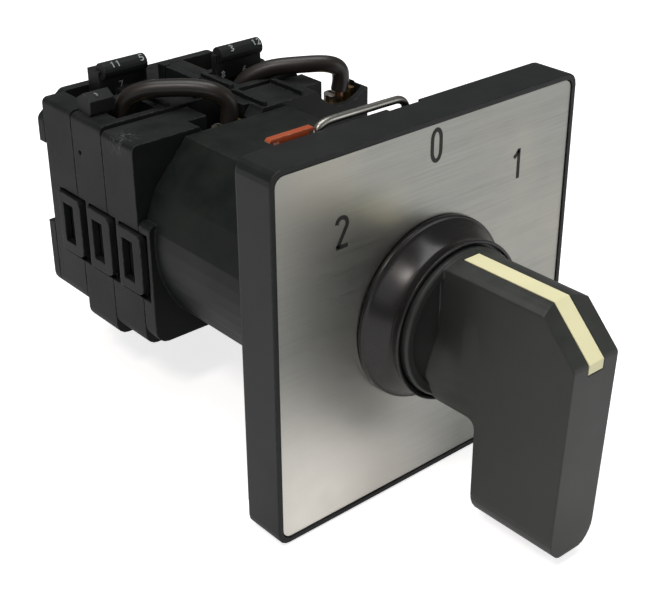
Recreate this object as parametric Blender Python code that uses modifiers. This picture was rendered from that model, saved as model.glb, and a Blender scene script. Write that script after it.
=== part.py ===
"""Rotary cam switch with a pistol handle, built as it comes apart on a bench.

The shaft axis runs along Y. The handle points to -Y and the contact block to +Y, and +Z is up.
The origin lies on the shaft axis, in the plane of the panel that the switch is fixed to.
"""

import math

import bmesh
import bpy
from mathutils import Matrix, Vector

MM = 0.001

# Clearances: one between pieces that touch, one for seams in view, one for what turns or slides.
GAP = 0.3 * MM
SEAM = 0.15 * MM
RUN = 0.4 * MM
THROUGH = 2.0 * MM

# Front frame, legend plate and the plate behind them.
FRAME_SIDE = 60.0 * MM
FRAME_CORNER = 2.0 * MM
FRAME_DEPTH = 7.3 * MM
FRAME_WALL = 2.0 * MM
FRAME_EDGE = 0.9 * MM
RIM_WIDTH = 1.0 * MM
LEGEND_CORNER = 1.5 * MM
LEGEND_THICK = 1.0 * MM
RIM_PROUD = 0.2 * MM
PLATE_INSET = 1.5 * MM
PLATE_THICK = 1.7 * MM
PLATE_CORNER = 1.5 * MM
SLEEVE_RADIUS = 10.9 * MM
SLEEVE_BORE = 7.6 * MM
SLEEVE_LENGTH = 14.0 * MM
RISE_RADIUS = 12.1 * MM
RISE_HEIGHT = 4.0 * MM
FRAME_NOTCH_FROM_EDGE = 27.0 * MM
FRAME_NOTCH_WIDTH = 6.4 * MM
FRAME_NOTCH_DEPTH = 0.8 * MM

# Collar round the handle foot.
COLLAR_FLANGE_RADIUS = 14.8 * MM
COLLAR_SPIGOT_RADIUS = 13.6 * MM
COLLAR_WAIST_RADIUS = 12.2 * MM
COLLAR_LIP_RADIUS = 12.75 * MM
COLLAR_FLANGE = 0.9 * MM
COLLAR_HEIGHT = 6.3 * MM
COLLAR_WAIST = 4.2 * MM
COLLAR_SPIGOT = 3.0 * MM
MOUTH_DEPTH = 0.9 * MM

# Handle.
FOOT_RADIUS = 11.7 * MM
FOOT_FACE = 7.2 * MM
FOOT_RIM = 1.5 * MM
FOOT_NECK_RADIUS = 10.9 * MM
FOOT_THICK = 1.5 * MM
FOOT_REAR_GAP = 1.0 * MM
FOOT_EDGE = 0.3 * MM
FOOT_POCKET = 0.6 * MM
BLADE_WIDTH = 9.2 * MM
HANDLE_TOP_RADIUS = 11.45 * MM
HANDLE_REACH = 31.5 * MM
CHAMFER_START = 24.7 * MM
CHAMFER_LOW = 4.5 * MM
GRIP_LENGTH = 29.1 * MM
GRIP_REAR = 14.35 * MM
HUB_REACH = 13.2 * MM
HUB_UNDER = 11.6 * MM
HUB_FLARE = 14.6 * MM
HUB_SIDE_HIGH = 5.9 * MM
HUB_SIDE_LOW = 8.4 * MM
HUB_CORNER = 2.4 * MM
HUB_INSIDE = 0.2 * MM
BLADE_EDGE = 0.45 * MM
FRONT_SLOPE = 1.4 * MM
STRIPE_WIDTH = 2.98 * MM
STRIPE_THICK = 0.6 * MM
STRIPE_START = 8.05 * MM
STRIPE_END = 2.96 * MM
GRUB_RADIUS = 2.0 * MM
GRUB_PLACE = 10.8 * MM
GRUB_SUNK = 0.6 * MM

# Drive shaft.
SHAFT_SIDE = 6.0 * MM
SHAFT_IN_HANDLE = 12.0 * MM
BEARING_RADIUS = 4.6 * MM

# Mounting body: the long neck between panel and contact block.
NUT_RADIUS = 15.0 * MM
NUT_THICK = 4.5 * MM
PANEL_ROOM = 3.0 * MM
NECK_START = 8.6 * MM
NECK_RADIUS = 20.0 * MM
NECK_TOP = 16.3 * MM
NECK_SHOULDER = 10.7 * MM
NECK_FACET = 2.9 * MM
NECK_KNEE = 17.5 * MM
NECK_KNEE_LEVEL = 8.7 * MM
NECK_WALL = 2.2 * MM
NECK_FRONT_WALL = 3.0 * MM
BEARING_PLACE = 20.5 * MM
BEARING_THICK = 2.5 * MM

# Contact block: three stages, one behind the other.
BLOCK_START = 37.6 * MM
BLOCK_HALF_WIDTH = 21.0 * MM
STAGE_PITCH = 9.35 * MM
STAGE_COUNT = 3
STAGE_FLOOR = 1.5 * MM
SIDE_WALL = 1.5 * MM
STAGE_TOPS = (17.0 * MM, 17.6 * MM, 17.8 * MM)
STAGE_BOTTOMS = (19.6 * MM, 21.6 * MM, 18.9 * MM)
COVER_THICK = 1.9 * MM
FLANGE_THICK = 3.0 * MM
FLANGE_TOP = 4.0 * MM

# Snap arms on the sides of the stages.
ARM_REACH = 1.0 * MM
ARM_LENGTH = 6.9 * MM
ARM_TOP = 1.6 * MM
ARM_HEIGHT = 11.2 * MM
ARM_PROUD = 0.5 * MM
ARM_WINDOW = 3.3 * MM
ARM_GROOVE = 1.2 * MM

# Switching parts. The plan says which way each stage's left and right cam flank rises, and so in
# which position of the handle its contact closes.
STAGE_PLAN = ((1, 1), (-1, -1), (1, 1))
CAM_RADIUS = 7.0 * MM
CAM_LIFT = 2.0 * MM
CAM_THICK = 5.0 * MM
TRAVEL_TURN = math.radians(45)
PLUNGER_WIDTH = 4.0 * MM
PLUNGER_HEIGHT = 5.0 * MM
BRIDGE_THICK = 1.0 * MM
BRIDGE_HEIGHT = 17.0 * MM
BRIDGE_WIDTH = 4.0 * MM
BUTTON = 0.6 * MM
CONTACT_GAP = 1.3 * MM
STRIP_THICK = 1.0 * MM
STRIP_WIDTH = 5.0 * MM
STRIP_INNER = 9.9 * MM
STRIP_FOOT = 5.4 * MM
STRIP_LEVEL = 11.0 * MM
CLAMP_REACH = 5.6 * MM
CLAMP_HEIGHT = 3.6 * MM
TERMINAL_SHIFT = 12.9 * MM
SCREW_HEAD_RADIUS = 1.8 * MM
SCREW_HEAD = 1.6 * MM
SCREW_RADIUS = 1.25 * MM
SCREW_INSET = 1.9 * MM
SLOT_WIDTH = 0.7 * MM
SLOT_DEPTH = 0.8 * MM
SPRING_RADIUS = 1.7 * MM
SPRING_WIRE = 0.25 * MM
SPRING_TURNS = 3
SPRING_STEPS = 9
PLUNGER_LENGTH = 5.3 * MM
BRIDGE_PLACE = 5.6 * MM
PLUNGER_BEVEL = 0.8 * MM
PIN_RADIUS = 0.9 * MM
PIN_PAST_BRIDGE = 2.6 * MM
BUTTON_RADIUS = 1.3 * MM
BUTTON_LEVEL = 6.9 * MM

# Detent.
STAR_RADIUS = 9.6 * MM
STAR_NOTCH = 0.9 * MM
STAR_THICK = 4.5 * MM
STAR_PLACE = 27.0 * MM
LEAF_THICK = 0.6 * MM
LEAF_HALF_SPAN = 8.2 * MM
LEAF_NOSE = 1.6 * MM
LEAF_DROP = 1.0 * MM
LEAF_WIDTH = 3.6 * MM
LEAF_OVER_STAR = 2.6 * MM
POST_SHIFT = 1.2 * MM
POST_WIDTH = 3.2 * MM

# What stands on the tops of the stages, and what is cut in the rear cover.
CUP_RADIUS = 7.6 * MM
CUP_DEPTH = 4.0 * MM
CUP_SHIFT = -1.2 * MM
WALL_THICK = 1.4 * MM
WALL_LEFT = -1.4 * MM
WALL_TOP = 21.3 * MM
LAST_WALL = 1.9 * MM
RIB_THICK = 0.8 * MM
RIB_HEIGHT = 0.9 * MM
RIB_PLACES = ((6.3 * MM, 14.7 * MM), (-7.35 * MM, 6.3 * MM), ())
HOOD_LOW = 16.6 * MM
HOOD_DEPTH = 3.6 * MM
BAR_RADIUS = 1.5 * MM
BAR_INSET = 0.5 * MM
BAR_SHIFT = 0.1 * MM
SIDE_BAR_RADIUS = 2.2 * MM
SIDE_BAR_PLACE = 6.65 * MM
SIDE_BAR_LEVEL = 19.1 * MM
SIDE_BAR_LEFT = -19.6 * MM
SIDE_BAR_LENGTH = 4.8 * MM
PIN_HOLE_RADIUS = 0.5 * MM
PIN_HOLE_DEPTH = 1.0 * MM
PIN_HOLE_PLACE = 7.0 * MM
PIN_HOLE_LEVEL = 11.0 * MM
COVER_SLOPE = 4.0 * MM
COVER_SHOULDER = 5.0 * MM
COVER_NOTCH = 1.2 * MM
NOTCH_LOW = -6.1 * MM
NOTCH_HIGH = 9.3 * MM
# Each hood's left end, right end and place of its label face behind the front of its stage.
HOODS = (None, (8.4 * MM, 18.5 * MM, 7.6 * MM), (-12.0 * MM, -2.2 * MM, 4.6 * MM))

# Wire bail, slide and jumpers.
BAIL_WIRE = 1.25 * MM
BAIL_FROM_EDGE = 15.0 * MM
BAIL_SPAN = 17.2 * MM
BAIL_RISE = 0.75 * MM
BAIL_LEAN = 1.4 * MM
BAIL_BEND = 2.2 * MM
SLIDE_FROM_EDGE = 6.6 * MM
SLIDE_WIDTH = 8.4 * MM
SLIDE_RISE = 1.1 * MM
SLIDE_WEB = 1.5 * MM
SLOT_LEFT_ROOM = 2.4 * MM
SLOT_RIGHT_ROOM = 0.6 * MM
FIT_DEPTH = 6.5 * MM
SLIDE_THICK = 1.2 * MM
SLIDE_DEPTH = 1.5 * MM
JUMPER_DIAMETER = 3.6 * MM

# Sizes and places that follow from the sizes above.
LEGEND_SIDE = FRAME_SIDE - 2 * RIM_WIDTH
PLATE_SIDE = FRAME_SIDE - 2 * PLATE_INSET
FRAME_REAR = -(PLATE_THICK + GAP)
FRAME_FRONT = FRAME_REAR - FRAME_DEPTH
LEGEND_FRONT = FRAME_FRONT + RIM_PROUD
LEGEND_REAR = LEGEND_FRONT + LEGEND_THICK
STAGE_THICK = STAGE_PITCH - GAP
BLOCK_END = BLOCK_START + STAGE_COUNT * STAGE_PITCH
SLIDE_LEFT = SLIDE_FROM_EDGE - FRAME_SIDE / 2
SLIDE_TOP = FRAME_SIDE / 2 + SLIDE_RISE
FRAME_NOTCH_LEFT = FRAME_NOTCH_FROM_EDGE - FRAME_SIDE / 2
BAIL_LEFT = BAIL_FROM_EDGE - FRAME_SIDE / 2
BAIL_RIGHT = BAIL_LEFT + BAIL_SPAN
BAIL_TOP = FRAME_SIDE / 2 + BAIL_RISE
FIT_LOW = PLATE_SIDE / 2 - FIT_DEPTH
BRIDGE_FACE = CAM_RADIUS + BRIDGE_PLACE + GAP


def clear_scene():
    for old in list(bpy.data.objects):
        bpy.data.objects.remove(old, do_unlink=True)


clear_scene()
PARTS = bpy.data.collections.new("rotary_cam_switch")
CUTTERS = bpy.data.collections.new("cutters")
bpy.context.scene.collection.children.link(PARTS)
bpy.context.scene.collection.children.link(CUTTERS)


def material(name, colour, roughness, metallic=0.0):
    made = bpy.data.materials.new(name)
    made.use_nodes = True
    shader = made.node_tree.nodes["Principled BSDF"]
    shader.inputs["Base Color"].default_value = (*colour, 1.0)
    shader.inputs["Roughness"].default_value = roughness
    shader.inputs["Metallic"].default_value = metallic
    return made


BLACK = (0.035, 0.037, 0.036)
HOUSING_BLACK = material("housing_black", BLACK, 0.55)
FRAME_BLACK = material("frame_black", (0.030, 0.033, 0.034), 0.5)
HANDLE_BLACK = material("handle_black", (0.016, 0.017, 0.017), 0.38)
ALUMINIUM = material("brushed_aluminium", (0.50, 0.50, 0.46), 0.36, 1.0)
CREAM = material("cream_stripe", (0.93, 0.88, 0.55), 0.45)
ORANGE = material("orange_slide", (0.60, 0.10, 0.035), 0.5)
STEEL = material("steel", (0.42, 0.41, 0.38), 0.3, 1.0)
BRASS = material("brass", (0.62, 0.46, 0.20), 0.32, 1.0)
NATURAL = material("natural_nylon", (0.70, 0.68, 0.60), 0.5)
CABLE = material("cable_insulation", (0.05, 0.04, 0.036), 0.4)


def keep(obj, finish=None, collection=PARTS):
    """Puts an object in its collection, with its material."""
    for holder in list(obj.users_collection):
        holder.objects.unlink(obj)
    collection.objects.link(obj)
    if finish is not None:
        obj.data.materials.clear()
        obj.data.materials.append(finish)
    if collection is CUTTERS:
        obj.hide_render = True
        obj.display_type = "WIRE"
    return obj


def from_bmesh(name, shape):
    mesh = bpy.data.meshes.new(name)
    bmesh.ops.recalc_face_normals(shape, faces=shape.faces)
    shape.to_mesh(mesh)
    shape.free()
    obj = bpy.data.objects.new(name, mesh)
    CUTTERS.objects.link(obj)
    return obj


def block(name, low, high):
    """A box between two corners."""
    shape = bmesh.new()
    size = Vector(high) - Vector(low)
    middle = (Vector(high) + Vector(low)) / 2
    place = Matrix.Translation(middle) @ Matrix.Diagonal((*size, 1.0))
    bmesh.ops.create_cube(shape, size=1.0, matrix=place)
    return from_bmesh(name, shape)


def rod(name, radius, start, end, segments=32):
    """A cylinder between two points."""
    shape = bmesh.new()
    start = Vector(start)
    run = Vector(end) - start
    turn = run.to_track_quat("Z", "Y").to_matrix().to_4x4()
    place = Matrix.Translation(start + run / 2) @ turn
    bmesh.ops.create_cone(
        shape, cap_ends=True, segments=segments, radius1=radius, radius2=radius, depth=run.length,
        matrix=place
    )
    return from_bmesh(name, shape)


def baked(obj):
    """The object with its modifiers applied, as a plain mesh in the cutters' collection."""
    bpy.context.view_layer.update()
    graph = bpy.context.evaluated_depsgraph_get()
    mesh = bpy.data.meshes.new_from_object(obj.evaluated_get(graph))
    shape = bmesh.new()
    shape.from_mesh(mesh)
    bmesh.ops.remove_doubles(shape, verts=shape.verts, dist=0.00001)
    shape.to_mesh(mesh)
    shape.free()
    made = bpy.data.objects.new(obj.name + "_mesh", mesh)
    made.matrix_world = obj.matrix_world
    CUTTERS.objects.link(made)
    name = obj.name
    bpy.data.objects.remove(obj, do_unlink=True)
    made.name = name
    return made


def turned(name, profile, segments=48, ring=False):
    """A profile of (radius, place along the shaft) turned about the shaft axis."""
    mesh = bpy.data.meshes.new(name)
    points = [(radius, 0.0, place) for radius, place in profile]
    edges = [(i, i + 1) for i in range(len(points) - 1)]
    if ring:
        edges.append((len(points) - 1, 0))
    mesh.from_pydata(points, edges, [])
    obj = bpy.data.objects.new(name, mesh)
    obj.rotation_euler = (-math.pi / 2, 0.0, 0.0)
    CUTTERS.objects.link(obj)
    screw = obj.modifiers.new("turn", "SCREW")
    screw.axis = "Z"
    screw.steps = segments
    screw.render_steps = segments
    screw.use_merge_vertices = True
    screw.merge_threshold = 0.00001
    made = baked(obj)
    shape = bmesh.new()
    shape.from_mesh(made.data)
    bmesh.ops.recalc_face_normals(shape, faces=shape.faces)
    shape.to_mesh(made.data)
    shape.free()
    return made


def flat(name, outlines, start, end, along="Y"):
    """Outlines extruded along Y, with points as (x, z), or along X, with points as (y, z)."""
    curve = bpy.data.curves.new(name, "CURVE")
    curve.dimensions = "2D"
    curve.fill_mode = "BOTH"
    curve.extrude = (end - start) / 2
    for outline in outlines:
        spline = curve.splines.new("POLY")
        spline.points.add(len(outline) - 1)
        for point, (across, up) in zip(spline.points, outline):
            point.co = (across, up, 0.0, 1.0)
        spline.use_cyclic_u = True
    obj = bpy.data.objects.new(name, curve)
    middle = (start + end) / 2
    if along == "Y":
        obj.rotation_euler = (math.pi / 2, 0.0, 0.0)
        obj.location = (0.0, middle, 0.0)
    else:
        obj.rotation_euler = (math.pi / 2, 0.0, math.pi / 2)
        obj.location = (middle, 0.0, 0.0)
    CUTTERS.objects.link(obj)
    return baked(obj)


def arc(centre, radius, first, last, steps):
    """Points on an arc, with its angles in degrees."""
    points = []
    for i in range(steps + 1):
        angle = math.radians(first + (last - first) * i / steps)
        points.append((centre[0] + radius * math.cos(angle), centre[1] + radius * math.sin(angle)))
    return points


def softened(corners, steps=4):
    """An outline whose corners, given as (across, up, radius), are rounded."""
    points = []
    count = len(corners)
    for i, (across, up, radius) in enumerate(corners):
        here = Vector((across, up))
        if radius <= 0.0:
            points.append((across, up))
            continue
        back = (Vector(corners[i - 1][:2]) - here).normalized()
        ahead = (Vector(corners[(i + 1) % count][:2]) - here).normalized()
        half = back.angle(ahead) / 2
        reach = radius / math.tan(half)
        middle = here + (back + ahead).normalized() * radius / math.sin(half)
        from_point = here + back * reach - middle
        to_point = here + ahead * reach - middle
        sweep = math.atan2(from_point.cross(to_point), from_point.dot(to_point))
        for k in range(steps + 1):
            turn = Matrix.Rotation(sweep * k / steps, 2)
            spot = middle + turn @ from_point
            points.append((spot.x, spot.y))
    return points


def rectangle(x0, x1, z0, z1, radius=0.0, steps=4):
    corners = [(x0, z0, radius), (x1, z0, radius), (x1, z1, radius), (x0, z1, radius)]
    return softened(corners, steps)


def boolean(target, other, operation):
    keep(other, collection=CUTTERS)
    change = target.modifiers.new(operation.lower() + "_" + other.name, "BOOLEAN")
    change.operation = operation
    change.object = other
    change.solver = "EXACT"
    return target


def cut(target, *others):
    for other in others:
        boolean(target, other, "DIFFERENCE")
    return target


def join(target, *others):
    for other in others:
        boolean(target, other, "UNION")
    return target


def bevel(obj, width, segments=2, angle=40.0):
    change = obj.modifiers.new("edges", "BEVEL")
    change.width = width
    change.segments = segments
    change.limit_method = "ANGLE"
    change.angle_limit = math.radians(angle)
    change.harden_normals = False
    return obj


def smooth(obj):
    for face in obj.data.polygons:
        face.use_smooth = True
    obj.data.set_sharp_from_angle(angle=math.radians(35))
    return obj


ROTOR = bpy.data.objects.new("rotor_axis", None)
PARTS.objects.link(ROTOR)


def finish(obj, look, parent=None):
    """Applies what was cut and joined, shades the piece and keeps it under its own name."""
    name = obj.name
    made = baked(obj)
    made.name = name
    smooth(made)
    keep(made, look)
    if parent is not None:
        made.parent = parent
    return made


def front_frame():
    half = FRAME_SIDE / 2
    body = flat("front_frame", [rectangle(-half, half, -half, half, FRAME_CORNER)], FRAME_FRONT, FRAME_REAR)
    front = body.modifiers.new("front_edge", "BEVEL")
    front.width = FRAME_EDGE
    front.segments = 3
    front.limit_method = "ANGLE"
    front.angle_limit = math.radians(60)
    recess = (LEGEND_SIDE / 2) + SEAM
    floor = LEGEND_REAR + SEAM
    well = flat(
        "frame_recess", [rectangle(-recess, recess, -recess, recess, LEGEND_CORNER)],
        FRAME_FRONT - THROUGH, floor,
    )
    inner = half - FRAME_WALL
    hollow = flat(
        "frame_hollow", [rectangle(-inner, inner, -inner, inner, FRAME_CORNER)],
        floor + FRAME_WALL, FRAME_REAR + THROUGH,
    )
    bore = rod(
        "frame_bore", COLLAR_SPIGOT_RADIUS + GAP,
        (0, FRAME_FRONT - THROUGH, 0), (0, FRAME_REAR + THROUGH, 0), 48,
    )
    notch = block(
        "frame_notch", (FRAME_NOTCH_LEFT, FRAME_REAR - FRAME_NOTCH_DEPTH, inner - THROUGH),
        (FRAME_NOTCH_LEFT + FRAME_NOTCH_WIDTH, FRAME_REAR + THROUGH, half + THROUGH),
    )
    return finish(cut(body, well, hollow, bore, notch), FRAME_BLACK)


def legend_plate():
    half = LEGEND_SIDE / 2
    hole = arc((0, 0), COLLAR_SPIGOT_RADIUS + GAP, 0, 352.5, 47)
    outline = rectangle(-half, half, -half, half, LEGEND_CORNER)
    return finish(flat("legend_plate", [outline, hole], LEGEND_FRONT, LEGEND_REAR), ALUMINIUM)


def mounting_plate():
    half = PLATE_SIDE / 2
    plate = flat(
        "mounting_plate", [rectangle(-half, half, -half, half, PLATE_CORNER)], -PLATE_THICK, 0.0
    )
    sleeve = rod("plate_sleeve", SLEEVE_RADIUS, (0, -PLATE_THICK / 2, 0), (0, SLEEVE_LENGTH, 0), 40)
    rise = rod(
        "plate_rise", RISE_RADIUS, (0, -RISE_HEIGHT, 0), (0, -PLATE_THICK / 2, 0), 40
    )
    bore = rod(
        "plate_bore", SLEEVE_BORE, (0, -RISE_HEIGHT - THROUGH, 0), (0, SLEEVE_LENGTH + THROUGH, 0), 40
    )
    slide_slot = block(
        "slide_slot", (SLIDE_LEFT - SLOT_LEFT_ROOM, -PLATE_THICK - THROUGH, FIT_LOW - GAP),
        (SLIDE_LEFT + SLIDE_WIDTH + SLOT_RIGHT_ROOM, THROUGH, half + THROUGH),
    )
    grooves = [
        block(
            name, (place - BAIL_WIRE / 2 - GAP, -PLATE_THICK - THROUGH, FIT_LOW - 1.0 * MM),
            (place + BAIL_WIRE / 2 + GAP, THROUGH, half + THROUGH),
        )
        for name, place in (("bail_groove_left", BAIL_LEFT + BAIL_LEAN), ("bail_groove_right", BAIL_RIGHT))
    ]
    return finish(cut(join(plate, sleeve, rise), bore, slide_slot, *grooves), HOUSING_BLACK)


def collar():
    base = LEGEND_FRONT - SEAM
    lip = LEGEND_FRONT - COLLAR_HEIGHT
    waist = LEGEND_FRONT - COLLAR_WAIST
    spigot_end = LEGEND_REAR + COLLAR_SPIGOT
    bore = FOOT_NECK_RADIUS + RUN
    mouth = FOOT_RADIUS + RUN
    edge = 0.3 * MM
    flange_front = base - COLLAR_FLANGE
    profile = [
        (COLLAR_SPIGOT_RADIUS, spigot_end),
        (COLLAR_SPIGOT_RADIUS, base),
        (COLLAR_FLANGE_RADIUS, base),
        (COLLAR_FLANGE_RADIUS, flange_front + edge),
        (COLLAR_FLANGE_RADIUS - edge, flange_front),
        (COLLAR_SPIGOT_RADIUS, flange_front - edge / 3),
    ]
    steps = 4
    for i in range(1, steps + 1):
        share = i / steps
        radius = COLLAR_WAIST_RADIUS + (COLLAR_SPIGOT_RADIUS - COLLAR_WAIST_RADIUS) * (1 - share) ** 2
        profile.append((radius, flange_front + (waist - flange_front) * share))
    for i in range(1, steps):
        share = i / (steps - 1)
        radius = COLLAR_WAIST_RADIUS + (COLLAR_LIP_RADIUS - COLLAR_WAIST_RADIUS) * share ** 1.6
        profile.append((radius, waist + (lip + edge - waist) * share))
    profile += [
        (COLLAR_LIP_RADIUS - edge, lip),
        (mouth, lip),
        (mouth, lip + MOUTH_DEPTH),
        (bore, lip + MOUTH_DEPTH),
        (bore, spigot_end),
    ]
    return finish(turned("collar", profile, 48, ring=True), HANDLE_BLACK)


def handle_side(inside):
    """The handle's outline seen from the side, down to the plane inside its foot."""
    front = LEGEND_FRONT - HANDLE_REACH
    rear = LEGEND_FRONT - GRIP_REAR
    return softened([
        (inside, HANDLE_TOP_RADIUS, 0.0),
        (LEGEND_FRONT - CHAMFER_START, HANDLE_TOP_RADIUS, 0.8 * MM),
        (front, CHAMFER_LOW, 1.0 * MM),
        (front + FRONT_SLOPE, -GRIP_LENGTH, 1.2 * MM),
        (rear, -GRIP_LENGTH, 1.0 * MM),
        (rear, -HUB_UNDER, 1.5 * MM),
        (inside, -HUB_UNDER, 0.0),
    ])


def handle_face():
    """The blade's outline seen from the front: round at the top and at the lower end."""
    half = BLADE_WIDTH / 2
    rise = math.sqrt(HANDLE_TOP_RADIUS ** 2 - half ** 2)
    shoulder = math.degrees(math.atan2(rise, half))
    points = arc((0, 0), HANDLE_TOP_RADIUS, shoulder, 180 - shoulder, 8)
    return points + arc((0, half - GRIP_LENGTH), half, 180, 360, 14)


def hub_section(width):
    """A section across the hub: inside the blade at top and bottom, and as wide as asked between."""
    top = BLADE_WIDTH / 2 - HUB_INSIDE
    low = HUB_INSIDE / 2 - HUB_UNDER
    corners = [
        (-top, low, 0.0), (top, low, 0.0), (width, -HUB_SIDE_LOW, HUB_CORNER),
        (width, -HUB_SIDE_HIGH, HUB_CORNER), (top, FOOT_REAR_GAP, 0.0), (-top, FOOT_REAR_GAP, 0.0),
        (-width, -HUB_SIDE_HIGH, HUB_CORNER), (-width, -HUB_SIDE_LOW, HUB_CORNER),
    ]
    return softened(corners)


def handle_hub(inside):
    """The hub's flanks: wide at the foot, and running out smoothly into the sides of the blade."""
    narrow = BLADE_WIDTH / 2 - HUB_INSIDE / 2
    reach = LEGEND_FRONT - HUB_REACH - inside
    steps = 6
    mesh = bmesh.new()
    rings = []
    for i in range(steps + 1):
        share = i / steps
        width = narrow + (HUB_FLARE / 2 - narrow) * (1 - share) ** 2
        rings.append([
            mesh.verts.new((across, inside + reach * share, up)) for across, up in hub_section(width)
        ])
    for near, far in zip(rings, rings[1:]):
        for j, vertex in enumerate(near):
            following = (j + 1) % len(near)
            mesh.faces.new((vertex, near[following], far[following], far[j]))
    mesh.faces.new(rings[0][::-1])
    mesh.faces.new(rings[-1])
    bmesh.ops.triangulate(mesh, faces=mesh.faces[:])
    return from_bmesh("handle_hub", mesh)


def handle_foot(foot_front):
    """The round foot that turns in the collar, with a shallow dip in its face inside the rim."""
    rear = LEGEND_FRONT - FOOT_REAR_GAP
    return turned("handle_foot", [
        (0.0, rear),
        (FOOT_NECK_RADIUS, rear),
        (FOOT_NECK_RADIUS, foot_front + FOOT_THICK),
        (FOOT_RADIUS, foot_front + FOOT_THICK),
        (FOOT_RADIUS, foot_front + FOOT_EDGE),
        (FOOT_RADIUS - FOOT_EDGE, foot_front),
        (FOOT_RADIUS - FOOT_RIM, foot_front),
        (FOOT_RADIUS - FOOT_RIM, foot_front + FOOT_POCKET),
        (0.0, foot_front + FOOT_POCKET),
    ], 48)


def handle():
    foot_front = LEGEND_FRONT - FOOT_FACE
    inside = foot_front + FOOT_POCKET + HUB_INSIDE
    blade = flat("handle", [handle_side(inside)], -FOOT_RADIUS, FOOT_RADIUS, along="X")
    outline = flat("handle_front", [handle_face()], LEGEND_FRONT - HANDLE_REACH - THROUGH, THROUGH)
    boolean(blade, outline, "INTERSECT")
    blade = baked(blade)
    bevel(blade, BLADE_EDGE, 2, 50)
    blade = baked(blade)
    socket = SHAFT_SIDE / 2 + GAP
    shaft_hole = block(
        "handle_socket", (-socket, LEGEND_FRONT - SHAFT_IN_HANDLE - GAP, -socket),
        (socket, LEGEND_FRONT + THROUGH, socket),
    )
    grub_y = LEGEND_FRONT - GRUB_PLACE
    grub_hole = rod(
        "grub_hole", GRUB_RADIUS + GAP, (0, grub_y, -HUB_UNDER - THROUGH), (0, grub_y, -SHAFT_SIDE / 4), 20
    )
    groove = stripe_solid("stripe_groove", STRIPE_WIDTH / 2 + SEAM, STRIPE_THICK + SEAM, 0.4 * MM, SEAM)
    joined = join(blade, handle_hub(inside), handle_foot(foot_front))
    return finish(cut(joined, shaft_hole, grub_hole, groove), HANDLE_BLACK, ROTOR)


def stripe_solid(name, half_width, depth, above, ends):
    """The index stripe's solid, or its groove: a bent bar along the top, the chamfer and the front face."""
    front = LEGEND_FRONT - HANDLE_REACH
    crown = math.sqrt(HANDLE_TOP_RADIUS ** 2 - half_width ** 2)
    bend = LEGEND_FRONT - CHAMFER_START
    drop = HANDLE_TOP_RADIUS - CHAMFER_LOW
    run = bend - front
    length = math.hypot(run, drop)
    out_y = -drop / length
    out_z = run / length
    start = LEGEND_FRONT - STRIPE_START + ends
    low = STRIPE_END - ends
    lean = FRONT_SLOPE / (GRIP_LENGTH + CHAMFER_LOW)
    low_y = front + lean * (CHAMFER_LOW - low)

    def layer(offset):
        """The path moved outwards from the handle's surface."""
        top_shift = math.tan(math.atan2(drop, run) / 2)
        low_shift = math.tan((math.pi / 2 - math.atan2(drop, run)) / 2)
        return [
            (start, crown + offset),
            (bend - offset * top_shift, crown + offset),
            (front - offset, CHAMFER_LOW + offset * low_shift),
            (low_y - offset, low),
        ]

    outline = layer(above) + layer(-depth)[::-1]
    return flat(name, [outline], -half_width, half_width, along="X")


def index_stripe():
    return finish(stripe_solid("index_stripe", STRIPE_WIDTH / 2, STRIPE_THICK, 0.0, 0.0), CREAM, ROTOR)


def handle_screw():
    grub_y = LEGEND_FRONT - GRUB_PLACE
    screw = rod(
        "handle_screw", GRUB_RADIUS, (0, grub_y, GRUB_SUNK - HUB_UNDER),
        (0, grub_y, -SHAFT_SIDE / 2 - GAP), 20,
    )
    slot = block(
        "grub_slot", (-GRUB_RADIUS - THROUGH, grub_y - SLOT_WIDTH / 2, -HUB_UNDER - THROUGH),
        (GRUB_RADIUS + THROUGH, grub_y + SLOT_WIDTH / 2, GRUB_SUNK + SLOT_DEPTH - HUB_UNDER),
    )
    return finish(cut(screw, slot), STEEL, ROTOR)


def drive_shaft():
    half = SHAFT_SIDE / 2
    shaft = flat(
        "drive_shaft", [rectangle(-half, half, -half, half, 0.4 * MM, 2)],
        LEGEND_FRONT - SHAFT_IN_HANDLE, BLOCK_END + COVER_THICK - GAP,
    )
    return finish(shaft, STEEL, ROTOR)


def ring_nut():
    start = PANEL_ROOM
    end = start + NUT_THICK
    bore = SLEEVE_RADIUS + GAP
    hole = arc((0, 0), bore, 0, 351, 39)
    teeth = 12
    rim = []
    for i in range(teeth):
        middle = i * 360 / teeth
        rim += arc((0, 0), NUT_RADIUS, middle - 10, middle + 10, 3)
        rim += arc((0, 0), NUT_RADIUS - 1.0 * MM, middle + 12, middle + 18, 1)
    return finish(flat("ring_nut", [rim, hole], start, end), NATURAL)


def neck_outline(scale=1.0):
    """The neck's section: a round body with two facets on each side and a flat top."""
    facet_angle = math.degrees(math.asin(NECK_FACET / NECK_RADIUS))
    points = arc((0, 0), NECK_RADIUS, -180 - facet_angle, facet_angle, 30)
    points += [
        (NECK_KNEE, NECK_KNEE_LEVEL), (NECK_SHOULDER, NECK_TOP), (-NECK_SHOULDER, NECK_TOP),
        (-NECK_KNEE, NECK_KNEE_LEVEL),
    ]
    return [(across * scale, up * scale) for across, up in points]


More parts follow.
